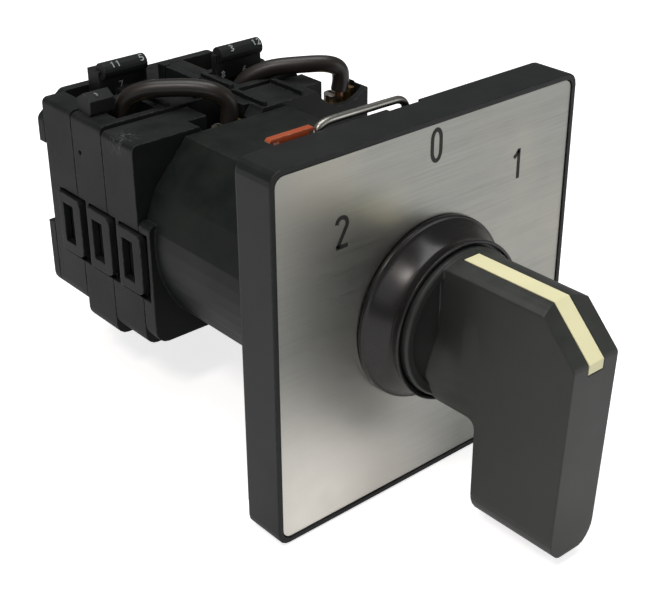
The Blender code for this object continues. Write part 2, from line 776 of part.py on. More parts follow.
def mounting_body():
    end = BLOCK_START - GAP
    inner = (NECK_RADIUS - NECK_WALL) / NECK_RADIUS
    neck = flat("mounting_body", [neck_outline()], NECK_START, end)
    low = -STAGE_BOTTOMS[0] + 1.6 * MM
    half = BLOCK_HALF_WIDTH
    flange = flat(
        "block_flange",
        [softened([
            (-half, low, 2.5 * MM), (half, low, 2.5 * MM), (half, FLANGE_TOP, 1.0 * MM),
            (-half, FLANGE_TOP, 1.0 * MM),
        ])],
        end - FLANGE_THICK, end,
    )
    front_room = flat(
        "neck_front_room", [neck_outline(inner)], NECK_START + NECK_FRONT_WALL, BEARING_PLACE
    )
    rear_room = flat(
        "neck_rear_room", [neck_outline(inner)], BEARING_PLACE + BEARING_THICK, end + THROUGH
    )
    socket = rod(
        "neck_socket", SLEEVE_RADIUS + GAP, (0, NECK_START - THROUGH, 0),
        (0, BEARING_PLACE - GAP, 0), 40,
    )
    bearing = rod("neck_bearing", BEARING_RADIUS, (0, NECK_START, 0), (0, end + THROUGH, 0), 24)
    cuts = [front_room, rear_room, socket, bearing] + arm_reliefs("neck", end)
    body = cut(join(neck, flange), *cuts)
    posts = []
    for side in (-1, 1):
        middle = side * (LEAF_HALF_SPAN + POST_SHIFT)
        posts.append(block(
            "leaf_post_" + side_name(side),
            (middle - POST_WIDTH / 2, BEARING_PLACE + BEARING_THICK / 2, STAR_RADIUS + LEAF_OVER_STAR),
            (middle + POST_WIDTH / 2, STAR_PLACE + STAR_THICK, NECK_TOP - NECK_WALL / 2),
        ))
    return finish(join(baked(body), *posts), HOUSING_BLACK)


def arm_reliefs(name, end):
    """Shallow pockets beside the rear edge of a piece, which the next stage's snap arms reach over."""
    made = []
    for side in (-1, 1):
        outer = side * (BLOCK_HALF_WIDTH + THROUGH)
        inner = side * (BLOCK_HALF_WIDTH - 1.2 * MM)
        made.append(block(
            name + "_relief_" + side_name(side),
            (min(outer, inner), end - ARM_REACH - 1.2 * MM, ARM_TOP - ARM_HEIGHT - ARM_GROOVE / 2),
            (max(outer, inner), end + THROUGH, ARM_TOP + ARM_GROOVE / 2),
        ))
    return made


def snap_arm(name, start, side):
    """One snap arm: a rounded frame on the side of a stage, which reaches over the piece in front of it."""
    low = ARM_TOP - ARM_HEIGHT
    outline = softened([
        (start - ARM_REACH, low, 1.5 * MM), (start + ARM_LENGTH - ARM_REACH, low, 0.4 * MM),
        (start + ARM_LENGTH - ARM_REACH, ARM_TOP, 0.4 * MM), (start - ARM_REACH, ARM_TOP, 1.5 * MM),
    ], 3)
    window = rectangle(
        start + 1.3 * MM, start + 1.3 * MM + ARM_WINDOW, low + 1.8 * MM, ARM_TOP - 1.8 * MM
    )
    inner = BLOCK_HALF_WIDTH - 0.8 * MM
    outer = BLOCK_HALF_WIDTH + ARM_PROUD
    first, last = (inner, outer) if side > 0 else (-outer, -inner)
    return flat(name, [outline, window], first, last, along="X")


def arm_groove(name, start, side):
    """The groove round a snap arm, in the side of its own stage."""
    low = ARM_TOP - ARM_HEIGHT - ARM_GROOVE / 2
    high = ARM_TOP + ARM_GROOVE / 2
    depth = 1.0 * MM
    inner = side * (BLOCK_HALF_WIDTH - depth)
    outer = side * (BLOCK_HALF_WIDTH + THROUGH)
    return block(
        name, (min(inner, outer), start - THROUGH, low),
        (max(inner, outer), start + ARM_LENGTH - ARM_REACH, high),
    )


def stage_start(index):
    return BLOCK_START + index * STAGE_PITCH


def stage_middle(index):
    """The middle of the room between one stage's floor and the next."""
    return stage_start(index) + STAGE_FLOOR + (STAGE_THICK - STAGE_FLOOR) / 2


def clamp_place(index, side):
    """Where the terminal's clamp stands across the block: the first stage's are shifted to its right."""
    shift = TERMINAL_SHIFT if index == 0 else 0.0
    return side * (STRIP_INNER + CLAMP_REACH / 2) + shift


def stage_outline(index):
    half = BLOCK_HALF_WIDTH
    top = STAGE_TOPS[index]
    low = -STAGE_BOTTOMS[index]
    corners = [(-half, low, 2.2 * MM), (half, low, 2.2 * MM)]
    if index == 0:
        wing = clamp_place(0, 1) + CLAMP_REACH / 2 + 1.3 * MM
        corners += [(half, 4.0 * MM, 0.0), (wing, 7.0 * MM, 0.8 * MM), (wing, top - 1.2 * MM, 1.2 * MM)]
        corners += [(half + 1.0 * MM, top, 1.0 * MM)]
    else:
        corners += [(half, top, 1.0 * MM)]
    corners += [(-half, top, 1.0 * MM)]
    return softened(corners)


def mechanism_rooms(index):
    """What is cut from the back of a stage: the rooms for cam, plungers, bridges, strips and clamps."""
    floor = stage_start(index) + STAGE_FLOOR
    back = stage_start(index) + STAGE_THICK + THROUGH
    label = "stage_%d_" % (index + 1)
    wall = BLOCK_HALF_WIDTH - SIDE_WALL
    high = BRIDGE_HEIGHT / 2 + 0.6 * MM
    rooms = [rod(label + "cam_room", CAM_RADIUS + CAM_LIFT / 2 + RUN, (0, floor, 0), (0, back, 0), 32)]
    for side in (-1, 1):
        near, far = side * (STRIP_INNER - STRIP_THICK - GAP), side * wall
        name = label + side_name(side) + "_"
        rooms.append(block(
            name + "plunger_way", (min(0, far), floor, -PLUNGER_HEIGHT / 2 - GAP),
            (max(0, far), back, PLUNGER_HEIGHT / 2 + GAP),
        ))
        bridge_far = side * (CAM_RADIUS + 10.2 * MM)
        rooms.append(block(
            name + "bridge_room", (min(near, bridge_far), floor, -high), (max(near, bridge_far), back, high)
        ))
        for up in (-1, 1):
            place = clamp_place(index, side) if up > 0 else side * (STRIP_INNER + CLAMP_REACH / 2)
            reach = CLAMP_REACH / 2 + STRIP_THICK / 2 + 0.6 * MM
            x0, x1 = place - reach, place + reach
            level = STRIP_LEVEL - STRIP_THICK - 1.0 * MM
            end = WALL_TOP + THROUGH
            rooms.append(block(
                name + ("top_pocket" if up > 0 else "low_pocket"),
                (x0, floor, min(up * level, up * end)), (x1, back, max(up * level, up * end)),
            ))
            run_high = STRIP_LEVEL + STRIP_THICK
            outward = 1 if place > side * STRIP_INNER else -1
            x_near = side * STRIP_INNER - outward * (STRIP_THICK / 2 + GAP)
            rooms.append(block(
                name + ("top_run" if up > 0 else "low_run"),
                (min(x_near, place), floor, min(up * level, up * run_high)),
                (max(x_near, place), back, max(up * level, up * run_high)),
            ))
    return rooms


def stage_housing(index):
    start = stage_start(index)
    end = start + STAGE_THICK
    name = "stage_housing_%d" % (index + 1)
    body = flat(name, [stage_outline(index)], start, end)
    bearing = rod("bearing_%d" % index, BEARING_RADIUS, (0, start - THROUGH, 0), (0, end, 0), 24)
    cuts = mechanism_rooms(index) + [bearing]
    for side in (-1, 1):
        cuts.append(arm_groove("arm_groove_%d_%d" % (index, side), start, side))
    if index == 0:
        cuts += front_cups()
    if index < STAGE_COUNT - 1:
        cuts += arm_reliefs("stage_%d" % (index + 1), end)
    if index == 1:
        cuts.append(pin_hole(start))
    body = baked(cut(body, *cuts))
    arms = [snap_arm("arm_%d_%d" % (index, side), start, side) for side in (-1, 1)]
    return finish(join(body, *arms, *top_features(index)), HOUSING_BLACK)


def pin_hole(start):
    """The small round hole in the left side of the middle stage."""
    place = start + PIN_HOLE_PLACE
    return rod(
        "pin_hole", PIN_HOLE_RADIUS, (-BLOCK_HALF_WIDTH - THROUGH, place, PIN_HOLE_LEVEL),
        (PIN_HOLE_DEPTH - BLOCK_HALF_WIDTH, place, PIN_HOLE_LEVEL), 12,
    )


def front_cups():
    """Round dips in the front wall of the first stage, where wires come in to its clamps."""
    start = stage_start(0)
    made = []
    for number, side in ((1, -1), (2, 1)):
        place = clamp_place(0, side) + CUP_SHIFT
        rise = STAGE_TOPS[0] + CUP_RADIUS - CUP_DEPTH
        made.append(rod(
            "front_cup_%d" % number, CUP_RADIUS, (place, start - THROUGH, rise),
            (place, start + STAGE_FLOOR + THROUGH, rise), 32,
        ))
    return made


def top_features(index):
    """What stands on the top of a stage: low ribs, the wall between its clamps and the hood behind them."""
    start = stage_start(index) + SEAM
    end = stage_start(index) + STAGE_THICK - SEAM
    top = STAGE_TOPS[index]
    label = "stage_%d_" % (index + 1)
    made = []
    for number, place in enumerate(RIB_PLACES[index]):
        made.append(block(
            label + "rib_%d" % number, (place - RIB_THICK / 2, start, top - RIB_HEIGHT),
            (place + RIB_THICK / 2, end, top + RIB_HEIGHT),
        ))
    if index == 0:
        return made
    wall_end = end if index == 1 else start + LAST_WALL
    made.append(block(
        label + "wall", (WALL_LEFT, start, HOOD_LOW), (WALL_LEFT + WALL_THICK, wall_end, WALL_TOP)
    ))
    left, right, face = HOODS[index]
    face += stage_start(index)
    back = min(face + HOOD_DEPTH, end)
    made.append(block(label + "hood", (left, face, HOOD_LOW), (right, back, WALL_TOP)))
    made.append(rod(
        label + "bar", BAR_RADIUS, (left + BAR_INSET, face + BAR_SHIFT, WALL_TOP),
        (right - BAR_INSET, face + BAR_SHIFT, WALL_TOP), 16,
    ))
    if index == 1:
        place = stage_start(index) + SIDE_BAR_PLACE
        made.append(rod(
            label + "side_bar", SIDE_BAR_RADIUS, (SIDE_BAR_LEFT, place, SIDE_BAR_LEVEL),
            (SIDE_BAR_LEFT + SIDE_BAR_LENGTH, place, SIDE_BAR_LEVEL), 6,
        ))
    return made


def rear_cover():
    start = BLOCK_END
    end = start + COVER_THICK
    half = BLOCK_HALF_WIDTH
    top = STAGE_TOPS[-1]
    low = -STAGE_BOTTOMS[-1]
    outline = softened([
        (-half, low, 2.2 * MM), (half, low, 2.2 * MM), (half, top - COVER_SLOPE, 1.5 * MM),
        (half - COVER_SHOULDER, top, 1.5 * MM), (COVER_SHOULDER - half, top, 1.5 * MM),
        (-half, top - COVER_SLOPE, 1.5 * MM),
    ])
    cover = flat("rear_cover", [outline], start, end)
    cuts = [rod("cover_bearing", BEARING_RADIUS, (0, start - THROUGH, 0), (0, end + THROUGH, 0), 24)]
    for side in (-1, 1):
        inner = side * (half - COVER_NOTCH)
        outer = side * (half + THROUGH)
        cuts.append(block(
            "cover_notch_" + side_name(side), (min(inner, outer), start - THROUGH, NOTCH_LOW),
            (max(inner, outer), end + THROUGH, NOTCH_HIGH),
        ))
    return finish(cut(cover, *cuts), HOUSING_BLACK)


def cam_outline(closes):
    """A spiral flank on each side, which lifts a plunger in proportion to the turn."""
    steps = 12
    reach = 55.0
    rise = CAM_LIFT / math.degrees(2 * TRAVEL_TURN)
    points = []
    for middle, slope in ((0.0, closes[1]), (180.0, closes[0])):
        for i in range(steps + 1):
            angle = middle - reach + 2 * reach * i / steps
            points.append((angle, CAM_RADIUS + slope * rise * (angle - middle)))
    outline = []
    for angle, radius in points:
        turn = math.radians(angle)
        outline.append((radius * math.cos(turn), radius * math.sin(turn)))
    return outline


def cam(index):
    middle = stage_middle(index)
    bore = SHAFT_SIDE / 2 + GAP
    outline = cam_outline(STAGE_PLAN[index])
    hole = rectangle(-bore, bore, -bore, bore)
    disc = flat("cam_%d" % (index + 1), [outline, hole], middle - CAM_THICK / 2, middle + CAM_THICK / 2)
    return finish(disc, NATURAL, ROTOR)


def side_name(side):
    return "left" if side < 0 else "right"


def plunger(index, side, axis):
    """The pushed slider between cam and bridge: a nose, a stem and a pin that holds bridge and spring."""
    middle = stage_middle(index)
    nose = CAM_RADIUS + GAP
    face = nose + PLUNGER_LENGTH
    half_y = PLUNGER_WIDTH / 2
    half_z = PLUNGER_HEIGHT / 2
    outline = softened([
        (side * nose, -half_z + PLUNGER_BEVEL, 0.0), (side * (nose + PLUNGER_BEVEL), -half_z, 0.0),
        (side * face, -half_z, 0.0), (side * face, half_z, 0.0),
        (side * (nose + PLUNGER_BEVEL), half_z, 0.0), (side * nose, half_z - PLUNGER_BEVEL, 0.0),
    ])
    body = flat("plunger_%s_%d" % (side_name(side), index + 1), [outline], middle - half_y, middle + half_y)
    pin = rod(
        "pin_%s_%d" % (side_name(side), index), PIN_RADIUS, (side * (face - PIN_RADIUS), middle, 0),
        (side * (face + BRIDGE_THICK + PIN_PAST_BRIDGE), middle, 0), 12,
    )
    made = finish(join(body, pin), NATURAL)
    place_under(made, axis)
    return made


def place_under(obj, axis):
    obj.parent = axis
    obj.matrix_parent_inverse = axis.matrix_world.inverted()


def bridge(index, side, axis):
    """The moving contact: a strip with a button at each end, on the plunger's pin."""
    middle = stage_middle(index)
    x0, x1 = side * BRIDGE_FACE, side * (BRIDGE_FACE + BRIDGE_THICK)
    name = "bridge_%s_%d" % (side_name(side), index + 1)
    strip = block(
        name, (min(x0, x1), middle - BRIDGE_WIDTH / 2, -BRIDGE_HEIGHT / 2),
        (max(x0, x1), middle + BRIDGE_WIDTH / 2, BRIDGE_HEIGHT / 2),
    )
    buttons = []
    for up in (-1, 1):
        buttons.append(rod(
            name + "_button_%d" % up, BUTTON_RADIUS,
            (side * (BRIDGE_FACE + BRIDGE_THICK / 2), middle, up * BUTTON_LEVEL),
            (side * (BRIDGE_FACE - BUTTON), middle, up * BUTTON_LEVEL), 12,
        ))
    hole = rod(
        name + "_hole", PIN_RADIUS + GAP, (side * (BRIDGE_FACE - THROUGH), middle, 0),
        (side * (BRIDGE_FACE + BRIDGE_THICK + THROUGH), middle, 0), 12,
    )
    made = finish(cut(join(strip, *buttons), hole), BRASS)
    place_under(made, axis)
    return made


def contact_spring(index, side):
    """The coil spring that presses the bridge towards its fixed contacts."""
    middle = stage_middle(index)
    first = BRIDGE_FACE + BRIDGE_THICK + GAP + SPRING_WIRE
    last = BLOCK_HALF_WIDTH - SIDE_WALL - GAP - SPRING_WIRE
    curve = bpy.data.curves.new("spring", "CURVE")
    curve.dimensions = "3D"
    curve.bevel_depth = SPRING_WIRE
    curve.bevel_resolution = 0
    curve.use_fill_caps = True
    steps = SPRING_TURNS * SPRING_STEPS
    spline = curve.splines.new("POLY")
    spline.points.add(steps)
    for i, point in enumerate(spline.points):
        angle = 2 * math.pi * SPRING_TURNS * i / steps
        along = first + (last - first) * i / steps
        spot = (side * along, middle + SPRING_RADIUS * math.cos(angle), SPRING_RADIUS * math.sin(angle))
        point.co = (*spot, 1.0)
    obj = bpy.data.objects.new("contact_spring_%s_%d" % (side_name(side), index + 1), curve)
    CUTTERS.objects.link(obj)
    return finish(obj, STEEL)


def terminal(index, side, up):
    """A fixed contact and its clamp: one strip, bent from the contact button to the wire."""
    middle = stage_middle(index)
    inner = side * STRIP_INNER
    if up > 0:
        middle_x = clamp_place(index, side)
    else:
        middle_x = side * (STRIP_INNER + CLAMP_REACH / 2)
    outward = 1 if middle_x > inner else -1
    end = middle_x + outward * CLAMP_REACH / 2
    half = STRIP_THICK / 2
    path = [
        (inner, up * STRIP_FOOT), (inner, up * STRIP_LEVEL), (end, up * STRIP_LEVEL),
        (end, up * (STRIP_LEVEL + CLAMP_HEIGHT)),
    ]
    outline = band(path, half)
    number = 4 * index + (0 if side < 0 else 2) + (1 if up > 0 else 2)
    strip = flat("terminal_%d" % number, [outline], middle - STRIP_WIDTH / 2, middle + STRIP_WIDTH / 2)
    face = BRIDGE_FACE - BUTTON - CONTACT_GAP
    button = rod(
        "fixed_button_%d" % number, BUTTON_RADIUS, (inner, middle, up * BUTTON_LEVEL),
        (side * face, middle, up * BUTTON_LEVEL), 12,
    )
    strip = join(strip, button)
    screw_x = end - outward * (SCREW_INSET + half)
    low = STRIP_LEVEL + half
    if up > 0:
        hole = rod(
            "screw_hole_%d" % number, SCREW_RADIUS + GAP, (screw_x, middle, low - THROUGH),
            (screw_x, middle, low + THROUGH), 16,
        )
        finish(cut(strip, hole), BRASS)
        clamp_screw(number, screw_x, middle, low)
    else:
        head = rod(
            "head_%d" % number, SCREW_HEAD_RADIUS, (screw_x, middle, up * (low - half / 2)),
            (screw_x, middle, up * (low + SCREW_HEAD)), 16,
        )
        finish(join(strip, head), BRASS)


def clamp_screw(number, place, middle, low):
    """A slotted screw whose stem stands in the hole of its terminal."""
    head_low = low + GAP
    screw = rod(
        "clamp_screw_%d" % number, SCREW_HEAD_RADIUS, (place, middle, head_low),
        (place, middle, head_low + SCREW_HEAD), 16,
    )
    stem = rod(
        "screw_stem_%d" % number, SCREW_RADIUS, (place, middle, low - STRIP_THICK * 1.5),
        (place, middle, head_low + SCREW_HEAD / 2), 12,
    )
    slot = block(
        "screw_slot_%d" % number,
        (place - SLOT_WIDTH / 2, middle - SCREW_HEAD, head_low + SCREW_HEAD - SLOT_DEPTH),
        (place + SLOT_WIDTH / 2, middle + SCREW_HEAD, head_low + SCREW_HEAD + THROUGH),
    )
    finish(cut(join(screw, stem), slot), STEEL)


def band(path, half):
    """The outline of a strip of even thickness along a path with mitred bends."""
    points = [Vector(spot) for spot in path]
    runs = [(following - here).normalized() for here, following in zip(points, points[1:])]
    left, right = [], []
    for here, before, after in zip(points, [runs[0], *runs], [*runs, runs[-1]]):
        across = Vector((-before.y - after.y, before.x + after.x))
        offset = across * (2 * half / across.length_squared)
        left.append(tuple(here + offset))
        right.append(tuple(here - offset))
    return left + right[::-1]


def detent_wheel():
    """An eight-lobed star wheel on the shaft, with a notch for every 45 degrees."""
    outline = []
    count = 96
    for i in range(count):
        angle = 2 * math.pi * i / count
        radius = STAR_RADIUS - STAR_NOTCH * (0.5 + 0.5 * math.cos(8 * angle))
        outline.append((radius * math.sin(angle), radius * math.cos(angle)))
    bore = SHAFT_SIDE / 2 + GAP
    hole = rectangle(-bore, bore, -bore, bore)
    wheel = flat("detent_wheel", [outline, hole], STAR_PLACE, STAR_PLACE + STAR_THICK)
    return finish(wheel, NATURAL, ROTOR)


def detent_spring():
    """A leaf spring whose nose rests in the star wheel's top notch, and whose ends bear on two posts."""
    low = STAR_RADIUS - STAR_NOTCH + GAP + LEAF_THICK / 2
    high = STAR_RADIUS + LEAF_OVER_STAR - GAP - LEAF_THICK / 2
    span = LEAF_HALF_SPAN + LEAF_NOSE
    path = [(-span, high), (-LEAF_HALF_SPAN, high), (-LEAF_NOSE, low + LEAF_DROP), (0, low)]
    path += [(LEAF_NOSE, low + LEAF_DROP), (LEAF_HALF_SPAN, high), (span, high)]
    middle = STAR_PLACE + STAR_THICK / 2
    outline = band(path, LEAF_THICK / 2)
    leaf = flat("detent_spring", [outline], middle - LEAF_WIDTH / 2, middle + LEAF_WIDTH / 2)
    return finish(leaf, STEEL)


def locking_slide():
    """The orange slide in its slot behind the frame's top edge."""
    low = FIT_LOW
    left, right = SLIDE_LEFT, SLIDE_LEFT + SLIDE_WIDTH
    front = -PLATE_THICK + 0.1 * MM
    web_left, web_right = left + SLIDE_WEB, right - SLIDE_WEB
    outline = [
        (web_left, low), (web_right, low), (web_right, SLIDE_TOP - SLIDE_THICK),
        (right, SLIDE_TOP - SLIDE_THICK), (right, SLIDE_TOP - 0.3 * MM), (right - 0.3 * MM, SLIDE_TOP),
        (left + 0.5 * MM, SLIDE_TOP), (left, SLIDE_TOP - 0.5 * MM), (left, SLIDE_TOP - SLIDE_THICK),
        (web_left, SLIDE_TOP - SLIDE_THICK),
    ]
    return finish(flat("locking_slide", [outline], front, front + SLIDE_DEPTH), ORANGE)


def tube(name, points, radius, resolution):
    """A round wire along a list of points."""
    curve = bpy.data.curves.new(name, "CURVE")
    curve.dimensions = "3D"
    curve.bevel_depth = radius
    curve.bevel_resolution = resolution
    curve.use_fill_caps = True
    spline = curve.splines.new("POLY")
    spline.points.add(len(points) - 1)
    for point, spot in zip(spline.points, points):
        point.co = (*spot, 1.0)
    obj = bpy.data.objects.new(name, curve)
    CUTTERS.objects.link(obj)
    return obj


def smooth_path(knots, per_span):
    """Points of a curve that runs evenly through the knots."""
    padded = [knots[0] * 2 - knots[1], *knots, knots[-1] * 2 - knots[-2]]
    points = []
    for i in range(1, len(padded) - 2):
        a, b, c, d = padded[i - 1:i + 3]
        for k in range(per_span):
            t = k / per_span
            points.append(
                0.5 * (2 * b + (c - a) * t + (2 * a - 5 * b + 4 * c - d) * t ** 2
                       + (3 * b - a - 3 * c + d) * t ** 3)
            )
    points.append(knots[-1])
    return points


def wire_bail():
    """The bent wire clip that holds the front frame to the mounting plate."""
    place = -PLATE_THICK / 2
    low = FIT_LOW - BAIL_WIRE / 2
    bend = BAIL_TOP - BAIL_BEND
    left = BAIL_LEFT + BAIL_LEAN
    knots = [(left, low), (left, bend)]
    knots += arc((left + BAIL_BEND, bend), BAIL_BEND, 180, 90, 4)[1:]
    knots += arc((BAIL_RIGHT - BAIL_BEND, bend), BAIL_BEND, 90, 0, 4)
    knots.append((BAIL_RIGHT, low))
    wire = tube("wire_bail", [(x, place, z) for x, z in knots], BAIL_WIRE / 2, 2)
    return finish(wire, STEEL)


def jumper(number, knots):
    """An insulated wire link from one terminal to another."""
    points = smooth_path([Vector(knot) * MM for knot in knots], 4)
    wire = tube("jumper_%d" % number, points, JUMPER_DIAMETER / 2, 3)
    return finish(wire, CABLE)


def moving_axis(name, place):
    axis = bpy.data.objects.new(name, None)
    axis.location = place
    PARTS.objects.link(axis)
    bpy.context.view_layer.update()
    return axis


def build():
    front_frame()
    legend_plate()
    mounting_plate()
    collar()
    handle()
    index_stripe()
    handle_screw()
    drive_shaft()
    ring_nut()
    mounting_body()
    detent_wheel()
    detent_spring()
    for index in range(STAGE_COUNT):
        stage_housing(index)
        cam(index)
        for side in (-1, 1):
            name = "plunger_axis_%s_%d" % (side_name(side), index + 1)
            axis = moving_axis(name, (0, stage_middle(index), 0))
            plunger(index, side, axis)
            bridge(index, side, axis)
            contact_spring(index, side)
            for up in (1, -1):
                terminal(index, side, up)
    rear_cover()
    locking_slide()
    wire_bail()
    jumper(1, [
        (-12.6, 53.4, 14.6), (-12.6, 53.2, 17.0), (-11.0, 51.6, 20.6), (-7.6, 48.6, 22.6),
        (-3.6, 44.4, 22.6), (-0.6, 41.6, 20.6), (0.4, 40.9, 17.4), (0.4, 40.9, 14.6),
    ])
    jumper(2, [
        (10.8, 51.6, 14.6), (10.8, 51.4, 17.0), (12.4, 49.8, 20.6), (15.8, 46.8, 22.6),
        (20.0, 43.0, 22.6), (23.4, 41.2, 20.6), (24.6, 40.9, 17.4), (24.6, 40.9, 14.6),
    ])


build()
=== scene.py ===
import math

import bmesh
import bpy
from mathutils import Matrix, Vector


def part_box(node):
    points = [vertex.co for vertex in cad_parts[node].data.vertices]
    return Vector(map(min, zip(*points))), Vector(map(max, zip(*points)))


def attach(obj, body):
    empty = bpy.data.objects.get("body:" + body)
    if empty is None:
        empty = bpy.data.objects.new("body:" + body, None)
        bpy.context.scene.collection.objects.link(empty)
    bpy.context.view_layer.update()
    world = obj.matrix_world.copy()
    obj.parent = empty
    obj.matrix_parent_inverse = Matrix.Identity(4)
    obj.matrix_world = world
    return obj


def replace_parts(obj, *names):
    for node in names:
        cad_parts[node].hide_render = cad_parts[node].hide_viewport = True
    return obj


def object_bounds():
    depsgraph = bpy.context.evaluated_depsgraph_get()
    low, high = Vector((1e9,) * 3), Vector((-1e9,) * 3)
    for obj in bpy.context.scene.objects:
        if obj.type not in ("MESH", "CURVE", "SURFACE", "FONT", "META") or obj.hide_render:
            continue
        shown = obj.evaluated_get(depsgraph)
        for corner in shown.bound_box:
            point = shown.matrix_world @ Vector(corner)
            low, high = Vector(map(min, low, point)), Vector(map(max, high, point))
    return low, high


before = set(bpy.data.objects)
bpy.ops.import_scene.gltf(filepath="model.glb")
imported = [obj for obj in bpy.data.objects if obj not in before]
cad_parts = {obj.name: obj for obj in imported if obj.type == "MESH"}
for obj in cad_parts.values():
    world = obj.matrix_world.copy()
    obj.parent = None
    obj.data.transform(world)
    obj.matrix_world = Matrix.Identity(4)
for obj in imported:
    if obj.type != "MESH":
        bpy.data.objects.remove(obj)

# The photographer's view: from the front left and above, with a short telephoto lens, so that
# the square plate, the whole handle and the left side of the contact block are seen together.
mm = 0.001
photo_camera = bpy.data.cameras.new("photo_camera")
photo_camera.sensor_width = 36.0
photo_camera.lens = 73.84
photo_camera.clip_start = 0.01
photo_camera.clip_end = 20.0
camera_stand = bpy.data.objects.new("camera_stand", photo_camera)
camera_stand.location = (-126.52 * mm, -133.29 * mm, 97.42 * mm)
camera_stand.rotation_euler = (math.radians(61.393), math.radians(0.312), math.radians(-40.717))
bpy.context.scene.collection.objects.link(camera_stand)
bpy.context.scene.camera = camera_stand
bpy.context.scene.view_settings.view_transform = "Standard"

# The white table under the switch, in a white room with four soft lamps. It is covered with matt
# white paper that takes a soft shadow, and that looks brighter to the camera and in reflections
# than the lamps alone would make it.
cad_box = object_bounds()
floor_level = cad_box[0][2] - 0.3 * mm
table_reach = 6.0


def white_paper(name, seen_glow, mirrored_glow, colour=0.86):
    """Matt white that adds some plain white where the camera or a reflection looks at it."""
    paper = bpy.data.materials.new(name)
    paper.use_nodes = True
    tree = paper.node_tree
    tree.nodes.clear()
    surface = tree.nodes.new("ShaderNodeBsdfDiffuse")
    surface.inputs["Color"].default_value = (colour, colour, colour, 1.0)
    glow = tree.nodes.new("ShaderNodeEmission")
    glow.inputs["Color"].default_value = (1.0, 1.0, 1.0, 1.0)
    rays = tree.nodes.new("ShaderNodeLightPath")
    seen = tree.nodes.new("ShaderNodeMath")
    seen.operation = "MULTIPLY"
    seen.inputs[1].default_value = seen_glow
    tree.links.new(rays.outputs["Is Camera Ray"], seen.inputs[0])
    power = tree.nodes.new("ShaderNodeMath")
    power.operation = "MULTIPLY_ADD"
    power.inputs[1].default_value = mirrored_glow
    tree.links.new(rays.outputs["Is Glossy Ray"], power.inputs[0])
    tree.links.new(seen.outputs[0], power.inputs[2])
    tree.links.new(power.outputs[0], glow.inputs["Strength"])
    both = tree.nodes.new("ShaderNodeAddShader")
    tree.links.new(surface.outputs[0], both.inputs[0])
    tree.links.new(glow.outputs[0], both.inputs[1])
    result = tree.nodes.new("ShaderNodeOutputMaterial")
    tree.links.new(both.outputs[0], result.inputs["Surface"])
    return paper


table_mesh = bpy.data.meshes.new("table_top")
table_mesh.from_pydata(
    [(x * table_reach, y * table_reach, floor_level) for x, y in ((-1, -1), (1, -1), (1, 1), (-1, 1))],
    [], [(0, 1, 2, 3)],
)
table_mesh.materials.append(white_paper("table_white", 0.74, 0.26))
table_top = bpy.data.objects.new("table_top", table_mesh)
bpy.context.scene.collection.objects.link(table_top)

room = bpy.data.worlds.new("white_room")
room.use_nodes = True
room_light = room.node_tree.nodes["Background"]
room_light.inputs["Color"].default_value = (1.0, 1.0, 1.0, 1.0)
room_rays = room.node_tree.nodes.new("ShaderNodeLightPath")
room_level = room.node_tree.nodes.new("ShaderNodeMapRange")
room_level.inputs["To Min"].default_value = 0.16
room_level.inputs["To Max"].default_value = 1.0
room.node_tree.links.new(room_rays.outputs["Is Camera Ray"], room_level.inputs["Value"])
room.node_tree.links.new(room_level.outputs["Result"], room_light.inputs["Strength"])
bpy.context.scene.world = room


def soft_lamp(name, place, width, height, watts, colour=(1.0, 1.0, 1.0)):
    """A rectangular soft box that looks at the switch."""
    light = bpy.data.lights.new(name, "AREA")
    light.shape = "RECTANGLE"
    light.size = width
    light.size_y = height
    light.energy = watts
    light.color = colour
    stand = bpy.data.objects.new(name, light)
    stand.location = place
    stand.rotation_euler = (-Vector(place)).to_track_quat("-Z", "Y").to_euler()
    bpy.context.scene.collection.objects.link(stand)


soft_lamp("window_left", (-0.60, -0.30, 0.40), 0.35, 0.45, 0.35)
soft_lamp("key_box", (-0.40, -0.16, 0.62), 0.14, 0.18, 1.5, (1.0, 0.92, 0.88))
soft_lamp("ceiling_panel", (0.05, 0.10, 0.75), 0.5, 0.5, 3.0)
soft_lamp("fill_right", (0.45, -0.65, 0.20), 0.4, 0.4, 0.9)

# The neck between panel and contact block, moulded in matt black phenolic. It has two facets on
# each side and a flat top, and years of handling have left dust on top and pale, worn edges.


def new_group(name, inputs, outputs):
    """An empty shader node group with the given inputs (name, value) and outputs (name, kind)."""
    group = bpy.data.node_groups.new(name, "ShaderNodeTree")
    for label, value in inputs:
        socket = group.interface.new_socket(label, in_out="INPUT", socket_type="NodeSocketFloat")
        socket.default_value = value
    for label, kind in outputs:
        group.interface.new_socket(label, in_out="OUTPUT", socket_type=kind)
    return group, group.nodes.new("NodeGroupInput"), group.nodes.new("NodeGroupOutput")


def maths(tree, operation, first, second=0.0, clamp=False):
    """One calculation. Each side is a socket or a number."""
    node = tree.nodes.new("ShaderNodeMath")
    node.operation = operation
    node.use_clamp = clamp
    for socket, value in zip(node.inputs, (first, second)):
        if isinstance(value, bpy.types.NodeSocket):
            tree.links.new(value, socket)
        else:
            socket.default_value = value
    return node.outputs[0]


def noise(tree, place, scale, detail=3.0, roughness=0.55):
    """Cloudy noise between 0 and 1 at a place."""
    node = tree.nodes.new("ShaderNodeTexNoise")
    node.inputs["Detail"].default_value = detail
    node.inputs["Roughness"].default_value = roughness
    tree.links.new(place, node.inputs["Vector"])
    if isinstance(scale, bpy.types.NodeSocket):
        tree.links.new(scale, node.inputs["Scale"])
    else:
        node.inputs["Scale"].default_value = scale
    return node.outputs["Fac"]


